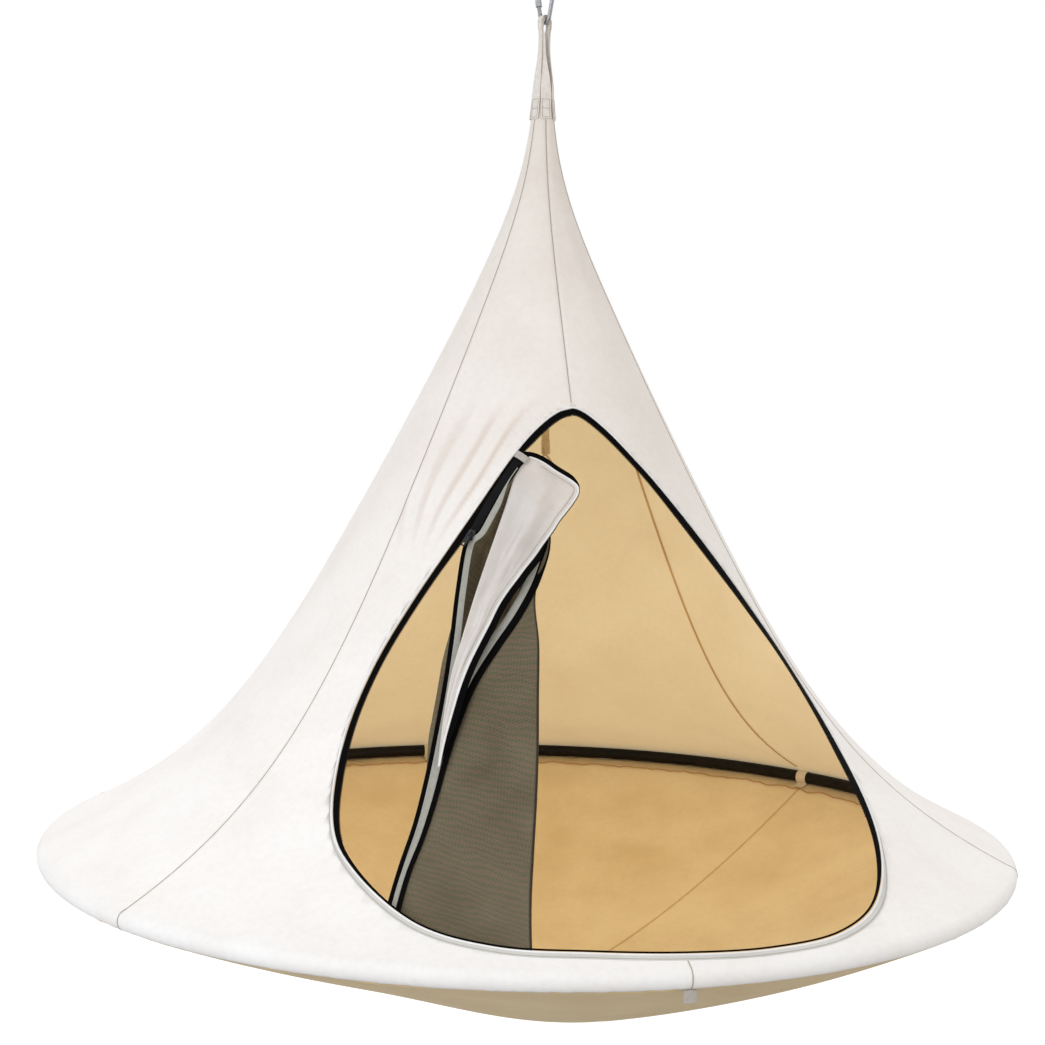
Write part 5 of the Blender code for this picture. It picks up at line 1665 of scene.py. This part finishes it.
@dataclass
class DoorEdge:
    """What runs round the doorway: piping, zip tape with its coil, and the folded hem below."""

    cord: float = 0.0021
    tape_width: float = 0.0120
    gap: float = 0.0003
    hem_width: float = 0.010
    tooth_pitch: float = 0.0030

    @property
    def cut(self) -> float:
        """How far outside the tape the canopy's cloth is cut, under the piping."""
        return 2 * self.cord + self.gap - 0.0014

    def tape_share(self, x: float, height: float) -> float:
        """Share of the tape's width that shows: least along the sill and beside a zipped leaf.

        Args:
            x: Place in elevation.
            height: Height there.

        Returns:
            The share, 1 for the whole width.
        """
        if x > 0:
            share = 0.25 + 0.75 * eased((height - 0.03) / 0.10)
            return share + eased((height - 0.10) / 0.12) * eased((0.74 - height) / 0.20)
        share = 0.25 + 0.75 * eased((height - 0.05) / 0.16)
        share += 0.16 * exp(-(((height - 0.59) / 0.04) ** 2))
        return share - 0.26 * eased((height - 0.59) / 0.07) * eased((0.760 - height) / 0.03)

    def hem_share(self, x: float, height: float) -> float:
        """Share of the hem's width: it runs out up the doorway's corners."""
        return 0.04 + 0.96 * (1 - eased((height - 0.045) / (0.18 if x < 0 else 0.08)))

    def make_piping(self) -> None:
        """A round cord in white cotton, against the cut edge all the way round."""
        stations = edge_stations(closed(SHAPE.door_loop(-self.cord - self.gap)), 0.0008)
        bm = swept(arc((0.0, 0.0), self.cord, 0.0, 324.0, 9), stations[:-1], True)
        nodes = ["door_piping"]
        finished("white_door_piping", bm, Finishes.PIPING, "white_tape", nodes, 60.0)

    def make_tape(self) -> None:
        """The black tape, slightly domed where it is sewn over the piping's allowance."""
        width, dome = self.tape_width, 0.0007
        outer = [(width * i / 8 - 0.0008, dome * sin(pi * i / 8) + 0.0005) for i in range(9)]
        section = [*outer, (width - 0.0008, -0.0005), (-0.0008, -0.0005)]
        stations = edge_stations(closed(SHAPE.door_loop(0.0)), wide=self.tape_share)
        bm = swept(section, stations[:-1], True)
        nodes = ["door_zip_tape"]
        finished("woven_door_zip_tape", bm, Finishes.ZIP_TAPE, "black_tape", nodes, 50.0)

    def make_coil(self) -> None:
        """The half of the zip's coil that is sewn along the tape's free edge."""
        line = [place for place in SHAPE.door_loop(0.0) if place[1] > 0.13]
        split = next(i for i, (x, _) in enumerate(line) if x < -0.3)
        line = line[split:] + line[:split]
        stations = edge_stations(line, 0.0, self.tooth_pitch)
        taped = edge_stations(line, 0.0, self.tooth_pitch, self.tape_share)
        for place, scaled in zip(stations, taped):
            place.translation = scaled @ Vector((self.tape_width - 0.0006, 0.0, 0.0))
        finished("door_zip_coil", teeth(stations), Finishes.ZIP_COIL, "black_tape")

    def make_hem(self) -> None:
        """A folded hem on the canopy below the doorway, with its row of stitches."""
        # The hem's grey is painted shade along the sill
        for name, finish, aside, width, lift, nodes in (
            ("folded_sill_hem", Finishes.HEM, 0.0, self.hem_width, 0.0016, ["door_hem"]),
            ("sill_hem_stitching", Finishes.THREAD, self.hem_width - 0.003, 0.0010, 0.0022, []),
        ):
            loop = SHAPE.door_loop(-self.cut)
            split = next(i for i, (x, y) in enumerate(loop) if x > 0.3 and y < 0.15)
            stop = next(i for i, (x, y) in enumerate(loop) if x < -0.3 and y > 0.24)
            places = edge_stations(loop[split:stop], lift, wide=self.hem_share)
            section = [(x - aside - width / 2, y) for x, y in rounded_section(width, 0.0009)]
            finished(name, swept(section, places), finish, "white_tape", nodes)

    def build(self) -> None:
        """Makes everything round the doorway."""
        self.make_piping()
        self.make_tape()
        self.make_coil()
        self.make_hem()


def teeth(stations: Sequence[Matrix], size: Place = (0.0030, 0.0019, 0.0014)) -> BMesh:
    """A small rounded tooth of the coil at every station.

    Args:
        stations: The teeth's places.
        size: Size of a tooth.

    Returns:
        All the teeth as one bmesh.
    """
    bm = bmesh.new()
    bmesh.ops.create_cube(bm, size=1.0)
    bmesh.ops.scale(bm, verts=bm.verts, vec=size)
    shape = bm.verts[:] + bm.edges[:] + bm.faces[:]
    for place in stations[1:]:
        verts = only(BMVert, bmesh.ops.duplicate(bm, geom=shape)["geom"])
        bmesh.ops.transform(bm, matrix=place, verts=verts)
    first = only(BMVert, shape)
    bmesh.ops.transform(bm, matrix=stations[0], verts=first)
    bmesh.ops.recalc_face_normals(bm, faces=bm.faces)
    return bm


def beside(
    points: Sequence[Vector],
    normals: Sequence[Vector],
    offset: float,
    lift: float = 0.0,
    wide: Callable[[Vector], float] = lambda point: 1.0,
) -> list[Matrix]:
    """Stations of a tape that runs beside a line on a surface.

    Args:
        points: The line.
        normals: The surface's outward normal at each of its points.
        offset: How far to the left of the line's way, seen from outside, the tape's middle is.
        lift: How far out from the surface it lies.
        wide: Scale of its width at a point.

    Returns:
        The stations, X across the line and Y outward.
    """
    stations = []
    for point, normal, way in zip(points, normals, ways(points)):
        across = normal.cross(way).normalized()
        centre = point + across * (offset * wide(point)) + normal * lift
        stations.append(station(centre, across, normal, wide(point)))
    return stations


def cloth_from_rows(rows: Sequence[Sequence[Vector]]) -> BMesh:
    """A grid of cloth moved onto rows of points, with its weave measured along them.

    Args:
        rows: The rows, each with as many points.

    Returns:
        The open sheet.
    """
    drops = run_lengths([row[-1] for row in rows])
    runs = [run_lengths(row) for row in rows]
    bm = gridded(
        len(rows[0]) - 1,
        len(rows) - 1,
        lambda i, j: rows[j][i],
        lambda i, j: Vector((runs[j][i], drops[j], 0.0)),
    )
    bmesh.ops.recalc_face_normals(bm, faces=bm.faces)
    return bm


def folded_row(
    left: Vector,
    right: Vector,
    inward: Vector,
    columns: int,
    fold: float = 0.0,
    belly: float = 0.0,
) -> list[Vector]:
    """A row of cloth between two points, with two soft folds and a belly to the inside.

    Args:
        left: The row's first point.
        right: Its last point.
        inward: Direction of the folds and the belly.
        columns: Faces between the two points.
        fold: Depth of the folds.
        belly: Depth of the belly.

    Returns:
        The row's points.
    """
    row = []
    for i in range(columns + 1):
        t = i / columns
        bend = fold * (1 - cos(4 * pi * t)) / 2
        row.append(left.lerp(right, t) + inward * (bend + 4 * belly * t * (1 - t)))
    return row


@dataclass
class Leaves:
    """The door leaf and the mosquito leaf, gathered at the doorway's left side."""

    leaf_cloth: float = 0.0020
    tape_width: float = 0.012
    zipped_share: float = 0.7
    loose_share: float = 0.8
    tape_thickness: float = 0.0011
    binding_width: float = 0.012
    edge_gap: float = -0.0010
    teeth_gap: float = 0.0018
    tie_height: float = 0.7243
    tie_width: float = 0.013
    slider_height: float = 0.592
    fold: float = 0.013
    mesh_fold: float = 0.010
    mesh_turn: float = 0.010
    mesh_belly: float = 0.030
    fineness: int = 4
    leaf_columns: int = 32
    net_columns: int = 24
    net_cloth: float = 0.0008
    piping_radius: float = 0.0019
    leaf_left: tuple[Place, ...] = (
        (-0.098, 0.724, 0.004), (-0.127, 0.647, 0.010), (-0.157, 0.575, 0.015),
        (-0.187, 0.505, 0.019), (-0.215, 0.435, 0.023), (-0.242, 0.367, 0.027),
        (-0.263, 0.300, 0.030), (-0.282, 0.232, 0.034),
    )
    leaf_free: tuple[Place, ...] = (
        (-0.095, 0.724, 0.004), (-0.078, 0.723, 0.008), (-0.059, 0.715, 0.012),
        (-0.040, 0.702, 0.016), (-0.023, 0.692, 0.020), (-0.010, 0.684, 0.022),
        (-0.001, 0.675, 0.023), (-0.002, 0.663, 0.024), (-0.012, 0.649, 0.025),
        (-0.025, 0.634, 0.027), (-0.039, 0.619, 0.028), (-0.053, 0.600, 0.030),
        (-0.071, 0.579, 0.030), (-0.088, 0.558, 0.030), (-0.105, 0.539, 0.031),
        (-0.122, 0.519, 0.031), (-0.139, 0.499, 0.031), (-0.156, 0.476, 0.031),
        (-0.173, 0.447, 0.032), (-0.192, 0.417, 0.032), (-0.212, 0.384, 0.032),
        (-0.230, 0.349, 0.033), (-0.248, 0.309, 0.033), (-0.265, 0.270, 0.034),
        (-0.280, 0.232, 0.034),
    )
    mesh_tape: tuple[Place, ...] = (
        (-0.197, 0.574, 0.012), (-0.214, 0.497, 0.030), (-0.229, 0.421, 0.043),
        (-0.247, 0.347, 0.054), (-0.270, 0.278, 0.055), (-0.296, 0.213, 0.053),
        (-0.326, 0.153, 0.051), (-0.362, 0.100, 0.047), (-0.404, 0.044, 0.034),
    )
    mesh_right: tuple[Place, ...] = (
        (-0.096, 0.690, 0.034), (-0.070, 0.640, 0.052), (-0.054, 0.584, 0.056),
        (-0.089, 0.497, 0.062), (-0.093, 0.414, 0.069), (-0.105, 0.334, 0.072),
        (-0.120, 0.257, 0.071), (-0.139, 0.186, 0.071), (-0.163, 0.121, 0.070),
        (-0.190, 0.064, 0.065), (-0.224, 0.004, 0.044),
    )
    mesh_front: tuple[Place, ...] = (
        (-0.098, 0.690, 0.030), (-0.070, 0.640, 0.046), (-0.052, 0.584, 0.050),
        (-0.076, 0.519, 0.051), (-0.114, 0.460, 0.051), (-0.158, 0.405, 0.052),
        (-0.199, 0.350, 0.053), (-0.232, 0.293, 0.053), (-0.261, 0.236, 0.054),
        (-0.288, 0.184, 0.052), (-0.318, 0.136, 0.049), (-0.352, 0.094, 0.040),
        (-0.393, 0.040, 0.026),
    )

    def beyond_tape(self, height: float, distance: float) -> Spot:
        """A place in elevation on the left, beyond the doorway tape's free edge.

        Args:
            height: Height of the place.
            distance: How far beyond the edge it lies.

        Returns:
            The place's x and height.
        """
        edge = DoorEdge()
        inset = edge.tape_width * edge.tape_share(-0.1, height) + distance
        return SHAPE.left_side(height, inset), height

    def door_rows(self) -> list[list[Vector]]:
        """Level rows of the door leaf.

        Returns:
            The rows from its top corner down to its tip, each from left to right.
        """
        left = smooth_line(self.leaf_left, 300)
        free = smooth_line(self.leaf_free, 24 * self.fineness + 1)
        inward = -SHAPE.front_normal(*self.leaf_free[-1][:2])
        rows = []
        for k, place in enumerate(free):
            start = SHAPE.front_point(*min(left, key=lambda other: abs(other[1] - place[1])))
            end = SHAPE.front_point(*place)
            fallen = self.leaf_free[0][1] - place[1]
            ease = min(1.0, fallen / 0.15, (end - start).length / 0.10)
            row = folded_row(start, end, inward, self.leaf_columns, self.fold * ease)
            for i, point in enumerate(row):
                t = i / self.leaf_columns
                crease = noisy(4.5 * t + 0.2 * k / self.fineness, 0.05 * k, 3.0)
                crumple = noisy(13 * t, 0.16 * k, 8.0)
                point += inward * ((0.0085 * crease + 0.0034 * crumple) * ease * 4 * t * (1 - t))
            rows.append(row)
        return rows

    def tape_share(self, point: Vector) -> float:
        """Share of the leaf's tape that shows, which is turned under on its upper right side.

        Args:
            point: A point of the free edge.

        Returns:
            The share there, 1 for the whole width.
        """
        height = above_ring(point)
        share = 0.85 - 0.60 * eased((0.690 - height) / 0.02) + 0.75 * eased((0.585 - height) / 0.03)
        return share * (0.15 + 0.85 * eased((height - 0.230) / 0.07))

    def make_door_leaf(self) -> None:
        """The white leaf, its piping, its zip tape and its stitching along the free edge."""
        rows = self.door_rows()
        bm = cloth_from_rows(rows)
        area = sum(face.calc_area() for face in bm.faces)
        body, cloth = "door_leaf", Finishes.DOOR_CLOTH
        leaf = finished("soft_door_leaf", bm, cloth, "door_cloth", ["door_leaf"], 80.0, body)
        thickened(leaf, self.leaf_cloth)
        edge = [row[-1] for row in rows]
        normals = [SHAPE.front_normal(point.x, above_ring(point)) for point in edge]
        for name, section, finish, slot, nodes, stations in (
            (
                "woven_door_leaf_zip", rounded_section(self.tape_width, self.tape_thickness),
                Finishes.ZIP_TAPE, "black_tape", ["door_leaf_zip"],
                beside(edge, normals, self.tape_width / 2 + 0.0012, -0.0004, self.tape_share),
            ),
            (
                "door_leaf_piping", arc((0, 0), self.piping_radius, 0.0, 324.0, 9),
                Finishes.PIPING, "white_tape", [], beside(edge, normals, 0.0, 0.0006),
            ),
            (
                "door_leaf_stitching", rounded_section(0.0010, 0.0006),
                Finishes.THREAD, "white_tape", [], beside(edge, normals, -0.0075, 0.0012)[8:-12],
            ),
        ):
            bm = swept(section, stations)
            finished(name, bm, finish, slot, nodes, 60.0, body)

    def zipped_line(self) -> list[Vector]:
        """The mosquito leaf's tape where it is still zipped to the doorway's.

        Returns:
            Points on the tape's middle line, from above the tie down to the slider.
        """
        highest, lowest = self.tie_height + 0.004, self.slider_height + 0.008
        points = []
        for i in range(6 * self.fineness):
            height = highest + (lowest - highest) * i / (6 * self.fineness - 1)
            half = self.tape_width * self.zipped_share / 2
            x, _ = self.beyond_tape(height, self.teeth_gap + half)
            inset = SHAPE.front_normal(x, height) * (SHAPE.cloth / 2)
            points.append(SHAPE.front_point(x, height) - inset)
        return points

    def mesh_rows(self) -> tuple[list[list[Vector]], list[Vector], list[Vector], list[float]]:
        """The mosquito leaf's cloth, and the tape on its sewn side.

        Returns:
            Rows of the net, and of the tape its middle line, its crosswise directions and the
            shares of its width that show.
        """
        fine = self.fineness
        zipped = self.zipped_line()
        places = [
            (point.x, above_ring(point), SHAPE.radius(above_ring(point)) - hypot(point.x, point.y))
            for point in zipped
        ]
        loose = smooth_line([places[-5], places[-1], *self.mesh_tape], 20 * fine + 1)
        loose = loose[2 * fine + 1 :]
        points = zipped + [SHAPE.front_point(*place) for place in loose]
        normals = [SHAPE.front_normal(*place[:2]) for place in places + loose]
        acrosses = [way.cross(normal).normalized() for way, normal in zip(ways(points), normals)]
        wider = self.loose_share - self.zipped_share
        shares = [
            self.zipped_share + wider * eased((i - len(zipped)) / (2 * fine))
            for i in range(len(points))
        ]
        left = [
            point - across * (self.tape_width / 2 * share + self.edge_gap)
            for point, across, share in zip(points, acrosses, shares)
        ][fine:]
        fold = [SHAPE.front_point(*place) for place in smooth_line(self.mesh_right, len(left))]
        front = smooth_line(self.mesh_front, len(left))
        rows = []
        for i, (start, turn, place) in enumerate(zip(left, fold, front)):
            outward = SHAPE.front_normal(*place[:2])
            share = i / len(left)
            depth = self.mesh_fold * min(1.0, i / (6 * fine))
            belly = self.mesh_belly * eased(3 * share) * (1 - 0.7 * share)
            back = folded_row(start, turn, -outward, self.net_columns, depth, belly)
            for k, point in enumerate(back):
                t = k / self.net_columns
                drape = 0.0035 * noisy(3.2 * t, 2.4 * share, 6.0)
                point -= outward * (drape * min(1.0, i / (4 * fine)) * sin(pi * t))
            way = (turn - start).normalized()
            half = self.mesh_turn / 2 * (0.2 + 0.8 * eased((share - 0.12) / 0.12))
            bend = [
                turn + outward * (half + half * sin(a)) + way * (half * cos(a))
                for a in (-1.0, -0.5, 0.0, 0.5, 1.0)
            ]
            end = SHAPE.front_point(*place)
            over = folded_row(turn + outward * 2 * half, end, outward, self.net_columns // 2)
            rows.append([*back, *bend, *over])
        return rows, points, acrosses, shares

    def binding_share(self, point: Vector) -> float:
        """Share of the sewn side's binding, which starts as a point below the tie."""
        return 0.15 + 0.85 * eased((0.690 - above_ring(point)) / 0.05)

    def roll_share(self, point: Vector) -> float:
        """Share of the net that rolls out behind its sewn tape, halfway down."""
        height = above_ring(point)
        return 0.2 + 0.8 * eased((height - 0.20) / 0.08) * eased((0.47 - height) / 0.10)

    def edge_share(self, point: Vector) -> float:
        """Share of the widths of the net's free tape and binding, less towards the sill."""
        return 0.62 + 0.38 * eased((above_ring(point) - 0.12) / 0.22)

    def make_mesh_leaf(self) -> None:
        """The net with its zip tapes and grey binding."""
        rows, points, acrosses, shares = self.mesh_rows()
        bm = cloth_from_rows(rows)
        layer = bm.verts.layers.float_vector[CLOTH_COORDINATES]
        first = self.net_columns + 1
        # The points of the net's bend are marked for its painted fold shade
        bends = {tuple(point) for row in rows for point in row[first : first + 5]}
        for vert in bm.verts:
            if tuple(vert.co) in bends:
                vert[layer].z = 1.0
        area = sum(face.calc_area() for face in bm.faces)
        leaf = finished("soft_mesh_leaf", bm, Finishes.NET, "mesh_cloth", ["mesh_leaf"], 80.0)
        thickened(leaf, self.net_cloth)
        normals = [across.cross(way) for across, way in zip(acrosses, ways(points))]
        sewn = [
            station(point, across, -normal, share)
            for point, across, normal, share in zip(points, acrosses, normals, shares)
        ]
        start = self.fineness
        front = [row[-1] for row in rows]
        outward = [SHAPE.front_normal(point.x, above_ring(point)) for point in front]
        aside = self.tape_width / 2 * self.loose_share + self.edge_gap + 0.0055
        black, grey = Finishes.ZIP_TAPE, Finishes.BINDING
        wide, narrow = self.tape_width, self.binding_width
        rolled = [i for i, point in enumerate(points) if 0.20 < above_ring(point) < 0.47]
        roll = slice(rolled[0], rolled[-1])
        for name, width, finish, slot, nodes, stations in (
            ("woven_mesh_leaf_zip", wide, black, "black_tape", ["mesh_leaf_zip"], sewn),
            (
                "mesh_leaf_rolled_net", 0.0100, Finishes.NET, "mesh_cloth", [],
                beside(points[roll], normals[roll], 0.001 - aside, -0.0020, self.roll_share),
            ),
            (
                "mesh_leaf_inner_binding", 0.0110, grey, "grey_binding", [],
                beside(points[start:], normals[start:], aside, 0.0022, self.binding_share),
            ),
            (
                "woven_mesh_leaf_edge_zip", wide, black, "black_tape", ["mesh_leaf_edge_zip"],
                beside(front, outward, -wide / 2, 0.0015, self.edge_share),
            ),
            (
                "woven_mesh_leaf_binding", narrow, grey, "grey_binding", ["mesh_leaf_binding"],
                beside(front, outward, -wide - narrow / 2, 0.0024, self.edge_share),
            ),
        ):
            bm = swept(rounded_section(width, self.tape_thickness), stations)
            finished(name, bm, finish, slot, nodes)

    def make_zipped_chain(self) -> None:
        """The closed coil between the doorway's tape and the mosquito leaf's, above the slider."""
        points = self.zipped_line()
        line = [self.beyond_tape(above_ring(point), self.teeth_gap / 2) for point in points]
        bm = swept(rounded_section(0.0150, 0.0020), edge_stations(line, 0.0004))
        finished("closed_zip_chain", bm, Finishes.ZIP_COIL, "black_tape")

    def make_tie(self) -> None:
        """The webbing that is wrapped round both tapes and holds the rolled leaves."""
        edge = DoorEdge()
        middle = edge.tape_width * edge.tape_share(-0.1, self.tie_height) + self.teeth_gap / 2
        line = [
            self.beyond_tape(self.tie_height + rise, self.teeth_gap / 2) for rise in (0.01, -0.01)
        ]
        high, low = [SHAPE.front_point(*place) for place in line]
        along = (high - low).normalized()
        outward = SHAPE.front_normal(*line[0])
        across = along.cross(outward).normalized()
        centre = (high + low) / 2 - outward * (SHAPE.cloth / 2)
        half, deep = middle + 0.0022, 0.0042
        stations = []
        for k in range(28):
            a = 2 * pi * k / 28
            way = across * (cos(a) * deep) + outward * (sin(a) * half)
            point = centre + across * (cos(a) * half) + outward * (sin(a) * deep)
            stations.append(station(point, along, way))
        bm = swept(rounded_section(self.tie_width, 0.0012), stations, True)
        finished("webbing_tie_loop", bm, Finishes.TIE, "pale_webbing", ["tie_loop"])

    def build(self) -> None:
        """Makes both leaves, the zipped part of the zip and the tie round it."""
        self.make_door_leaf()
        self.make_mesh_leaf()
        self.make_zipped_chain()
        self.make_tie()


@dataclass
class Straps:
    """Webbing: the three neck loops, the hanging strap inside, and the tab under the rim."""

    webbing: float = 0.0013
    strap_width: float = 0.020
    folded_width: float = 0.010
    spread_from: float = 0.30
    bar_radius: float = 0.004
    lower_bow: float = 0.011
    carabiner_azimuth: float = -60.0
    gap: float = 0.0003
    inner_width: float = 0.015
    inner_length: float = 0.660
    inner_back: float = 0.0128
    sway: float = 0.024
    loop_length: float = 0.090
    loop_width: float = 0.050
    tab_drop: float = 0.020
    # The way that each loop's leg turns towards its seam
    turns: tuple[int, int, int] = (1, -1, 0)

    @property
    def bar_z(self) -> float:
        """Height of the carabiner's lower bar."""
        return -SHAPE.carabiner_inside - self.bar_radius

    def leg(self, order: int) -> list[tuple[Vector, Vector, Vector, float, float]]:
        """Stations of one strap from the bar's height down to its seam.

        Args:
            order: The strap's place on the bar, from 0 for the one next to it.

        Returns:
            The middle, the directions across and outward, the width and the thickness at each
            station, in the carabiner's frame.
        """
        folded = 2 * self.webbing
        drop = sqrt((self.lower_bow - self.bar_radius) ** 2 - (self.folded_width / 2) ** 2)
        out = self.lower_bow - drop + self.gap + folded / 2 + order * (folded + self.gap)
        top, foot = self.bar_z, SHAPE.ring_z + SHAPE.canopy_rise + SHAPE.strap_lap
        aside = (self.folded_width / 2 + self.gap + 0.0001) * self.turns[order]
        turn = radians(SHAPE.gore_angle) * self.turns[order]
        rest = SHAPE.radius(SHAPE.canopy_rise + SHAPE.strap_lap) + self.gap + self.webbing / 2
        stations = []
        for i in range(31):
            t = i / 30
            spread = eased((t - self.spread_from) / (1 - self.spread_from))
            angle = turn * spread
            pinched = out - 0.5 * (self.lower_bow - drop) * eased((t - 0.03) / 0.13)
            start = Vector((aside * eased(t / self.spread_from), pinched))
            place = start.lerp(Vector((sin(turn), cos(turn))) * rest, spread)
            centre = Vector((place.x, place.y, top + (foot - top) * t))
            wide = self.folded_width + (self.strap_width - self.folded_width) * spread
            thick = folded + (self.webbing - folded) * spread
            across = Vector((cos(angle), -sin(angle), 0))
            outward = Vector((sin(angle), cos(angle), 0))
            stations.append((centre, across, outward, wide, thick))
        across, outward = stations[-1][1:3]
        for i in range(1, 9):
            height = SHAPE.canopy_rise + SHAPE.strap_lap * (1 - i / 8)
            centre = outward * (SHAPE.radius(height) + self.gap + self.webbing / 2)
            centre.z = SHAPE.ring_z + height
            stations.append((centre, across, outward, self.strap_width, self.webbing))
        return stations

    def make_neck(self) -> None:
        """Three loops over the carabiner, each down to two seams."""
        stand = Matrix.Rotation(radians(self.carabiner_azimuth), 4, "Z")
        half_turn = Matrix.Rotation(pi, 3, "Z")
        for order in range(SHAPE.gores // 2):
            leg = self.leg(order)
            over = []
            for i in range(1, 16):
                angle = pi * i / 16
                way = Vector((0, cos(angle), sin(angle)))
                centre = UP * self.bar_z + way * leg[0][0].y
                over.append((centre, RIGHT, way, self.folded_width, 2 * self.webbing))
            other = [
                (half_turn @ centre, -(half_turn @ across), half_turn @ outward, wide, thick)
                for centre, across, outward, wide, thick in leg
            ]
            stations = [stand @ station(*place) for place in leg[::-1] + over + other]
            bm = swept(rounded_section(1.0, 1.0), stations)
            layer = bm.verts.layers.float_vector[CLOTH_COORDINATES]
            for vert in bm.verts:
                vert[layer] = Vector((vert[layer].x * self.strap_width, vert[layer].y, 0.0))
            node = f"neck_strap_{order + 1}"
            finished(f"webbing_{node}", bm, Finishes.WEBBING, "pale_webbing", [node])

    def make_neck_stitching(self) -> None:
        """A box of stitches with a bar across it where each strap is sewn to its seam."""
        half = self.strap_width / 2 - 0.003
        low, middle, high = (SHAPE.canopy_rise + rise for rise in (0.003, 0.019, 0.036))
        lines = [((-half, height), (half, height)) for height in (low, middle, high)]
        lines += [((x, low), (x, high)) for x in (-half, half)]
        parts = []
        for azimuth in SHAPE.seam_azimuths():
            across, out = SHAPE.directions(azimuth)
            for (ax, ah), (bx, bh) in lines:
                points = []
                for k in range(7):
                    x, height = ax + (bx - ax) * k / 6, ah + (bh - ah) * k / 6
                    radius = SHAPE.radius(height) + self.gap + self.webbing + 0.0001
                    points.append(across * x + out * radius + UP * (SHAPE.ring_z + height))
                stations = [
                    station(point, way.cross(out), out) for point, way in zip(points, ways(points))
                ]
                parts.append(swept(rounded_section(0.0009, 0.0005, 1), stations))
        finished("neck_strap_stitching", joined(parts), Finishes.THREAD, "pale_webbing")

    def make_inner_strap(self) -> None:
        """The hanging strap inside, which ends in an open loop."""
        top = Vector((0.0, self.inner_back, SHAPE.ring_z + SHAPE.canopy_rise + SHAPE.strap_lap))
        knot = self.inner_length
        twist = knot - 0.026
        points, acrosses = [], []
        for k in range(13):
            points.append(Vector((0, 0, -twist * k / 12)))
            acrosses.append(RIGHT)
        for i in range(1, 13):
            angle = pi / 2 * i / 12
            points.append(Vector((0, 0, -twist - (knot - 0.003 - twist) * i / 12)))
            acrosses.append(Vector((cos(angle), sin(angle), 0)))
        half, long, aside = self.loop_width / 2, self.loop_length, -0.0015 - 2 * self.gap
        loop = (
            (0.0, 0.0), (0.55 * half, -0.22 * long), (half, -0.55 * long),
            (0.72 * half, -0.87 * long), (0.0, -long), (-0.72 * half, -0.87 * long),
            (-half, -0.55 * long),
            (0.55 * -half + aside, -0.22 * long), (aside, 0.0), (aside, 0.010),
        )
        for x, z in smooth_line(loop, 6 * len(loop)):
            points.append(Vector((x, 0, z - knot)))
            acrosses.append(Vector((0, 1, 0)))
        points = [point + top - RIGHT * (self.sway * point.z / knot) for point in points]
        stations = [
            station(point, across, across.cross(way))
            for point, across, way in zip(points, acrosses, ways(points))
        ]
        wrap = [point for point in points[:26] if -knot - 0.003 < point.z - top.z < 0.026 - knot]
        sewn = [station(point, RIGHT, Vector((0, -1, 0))) for point in wrap]
        band = rounded_section(self.inner_width + 0.0016, 0.0048)
        for name, section, line, nodes in (
            ("inner_strap_wrap", band, sewn, []),
            (
                "woven_inner_strap", rounded_section(self.inner_width, 0.0014), stations,
                ["inner_hanging_strap"],
            ),
        ):
            bm, cloth = swept(section, line), Finishes.WEBBING_SHADED
            finished(name, bm, cloth, "pale_webbing", nodes, body="inner_strap")

    def make_rim_tab(self) -> None:
        """A strip of webbing folded in half, which hangs under the rim at the front seam."""
        outer = SHAPE.seam[0] - self.gap
        inner = outer - 0.0026
        top = SHAPE.ring_z + SHAPE.floor_height(inner) - self.gap
        mid, apart = -(inner + outer) / 2, 0.0007
        points = [Vector((0, mid - apart, top - self.tab_drop * k / 5)) for k in range(5)]
        low = top - self.tab_drop + 0.0014
        for a in (-1.0, 0.0, 1.0):
            points.append(Vector((0, mid + apart * sin(a), low - 0.0008 * cos(a))))
        points += [Vector((0, mid + apart, top - self.tab_drop * k / 5)) for k in range(4, -1, -1)]
        stations = [station(p, RIGHT, RIGHT.cross(way)) for p, way in zip(points, ways(points))]
        bm = swept(rounded_section(0.020, 0.0011), stations)
        finished("folded_rim_tab", bm, Finishes.TIE, "pale_webbing", ["rim_tab"])

    def build(self) -> None:
        """Makes all the webbing."""
        self.make_neck()
        self.make_neck_stitching()
        self.make_inner_strap()
        self.make_rim_tab()


@dataclass
class KeptNodes:
    """CAD nodes whose shapes are right, and the finish that each of them gets."""

    finishes: dict[str, Finishes] = field(
        default_factory=lambda: {
            "carabiner_body": Finishes.STEEL,
            "carabiner_gate": Finishes.STEEL,
            "gate_pin": Finishes.STEEL,
            "gate_plunger": Finishes.STEEL,
            "gate_spring": Finishes.SPRING,
            "lock_sleeve": Finishes.ALUMINIUM,
            "zip_slider": Finishes.SLIDER,
            "zip_pull": Finishes.SLIDER,
            **{f"ring_ferrule_{i + 1}": Finishes.ALUMINIUM for i in range(SHAPE.gores)},
        }
    )

    def build(self) -> None:
        """Dresses each kept node."""
        for name, finish in self.finishes.items():
            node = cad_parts[name]
            for slot in node.material_slots:
                slot.material = finish.make()
            LOG.info("%s: kept, with %s", name, finish.value.name)


def main() -> None:
    """Builds the tent's looks, one sub-assembly after the other."""
    logging.basicConfig(level=logging.INFO, format="%(message)s")
    for part in (Studio(), Canopy(), Bowl(), Ring(), DoorEdge(), Leaves(), Straps(), KeptNodes()):
        part.build()
    boxes = {"cad": CAD_BOX, "visual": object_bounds()}
    sizes = {name: [list(corner) for corner in box] for name, box in boxes.items()}


if __name__ == "__main__":
    main()
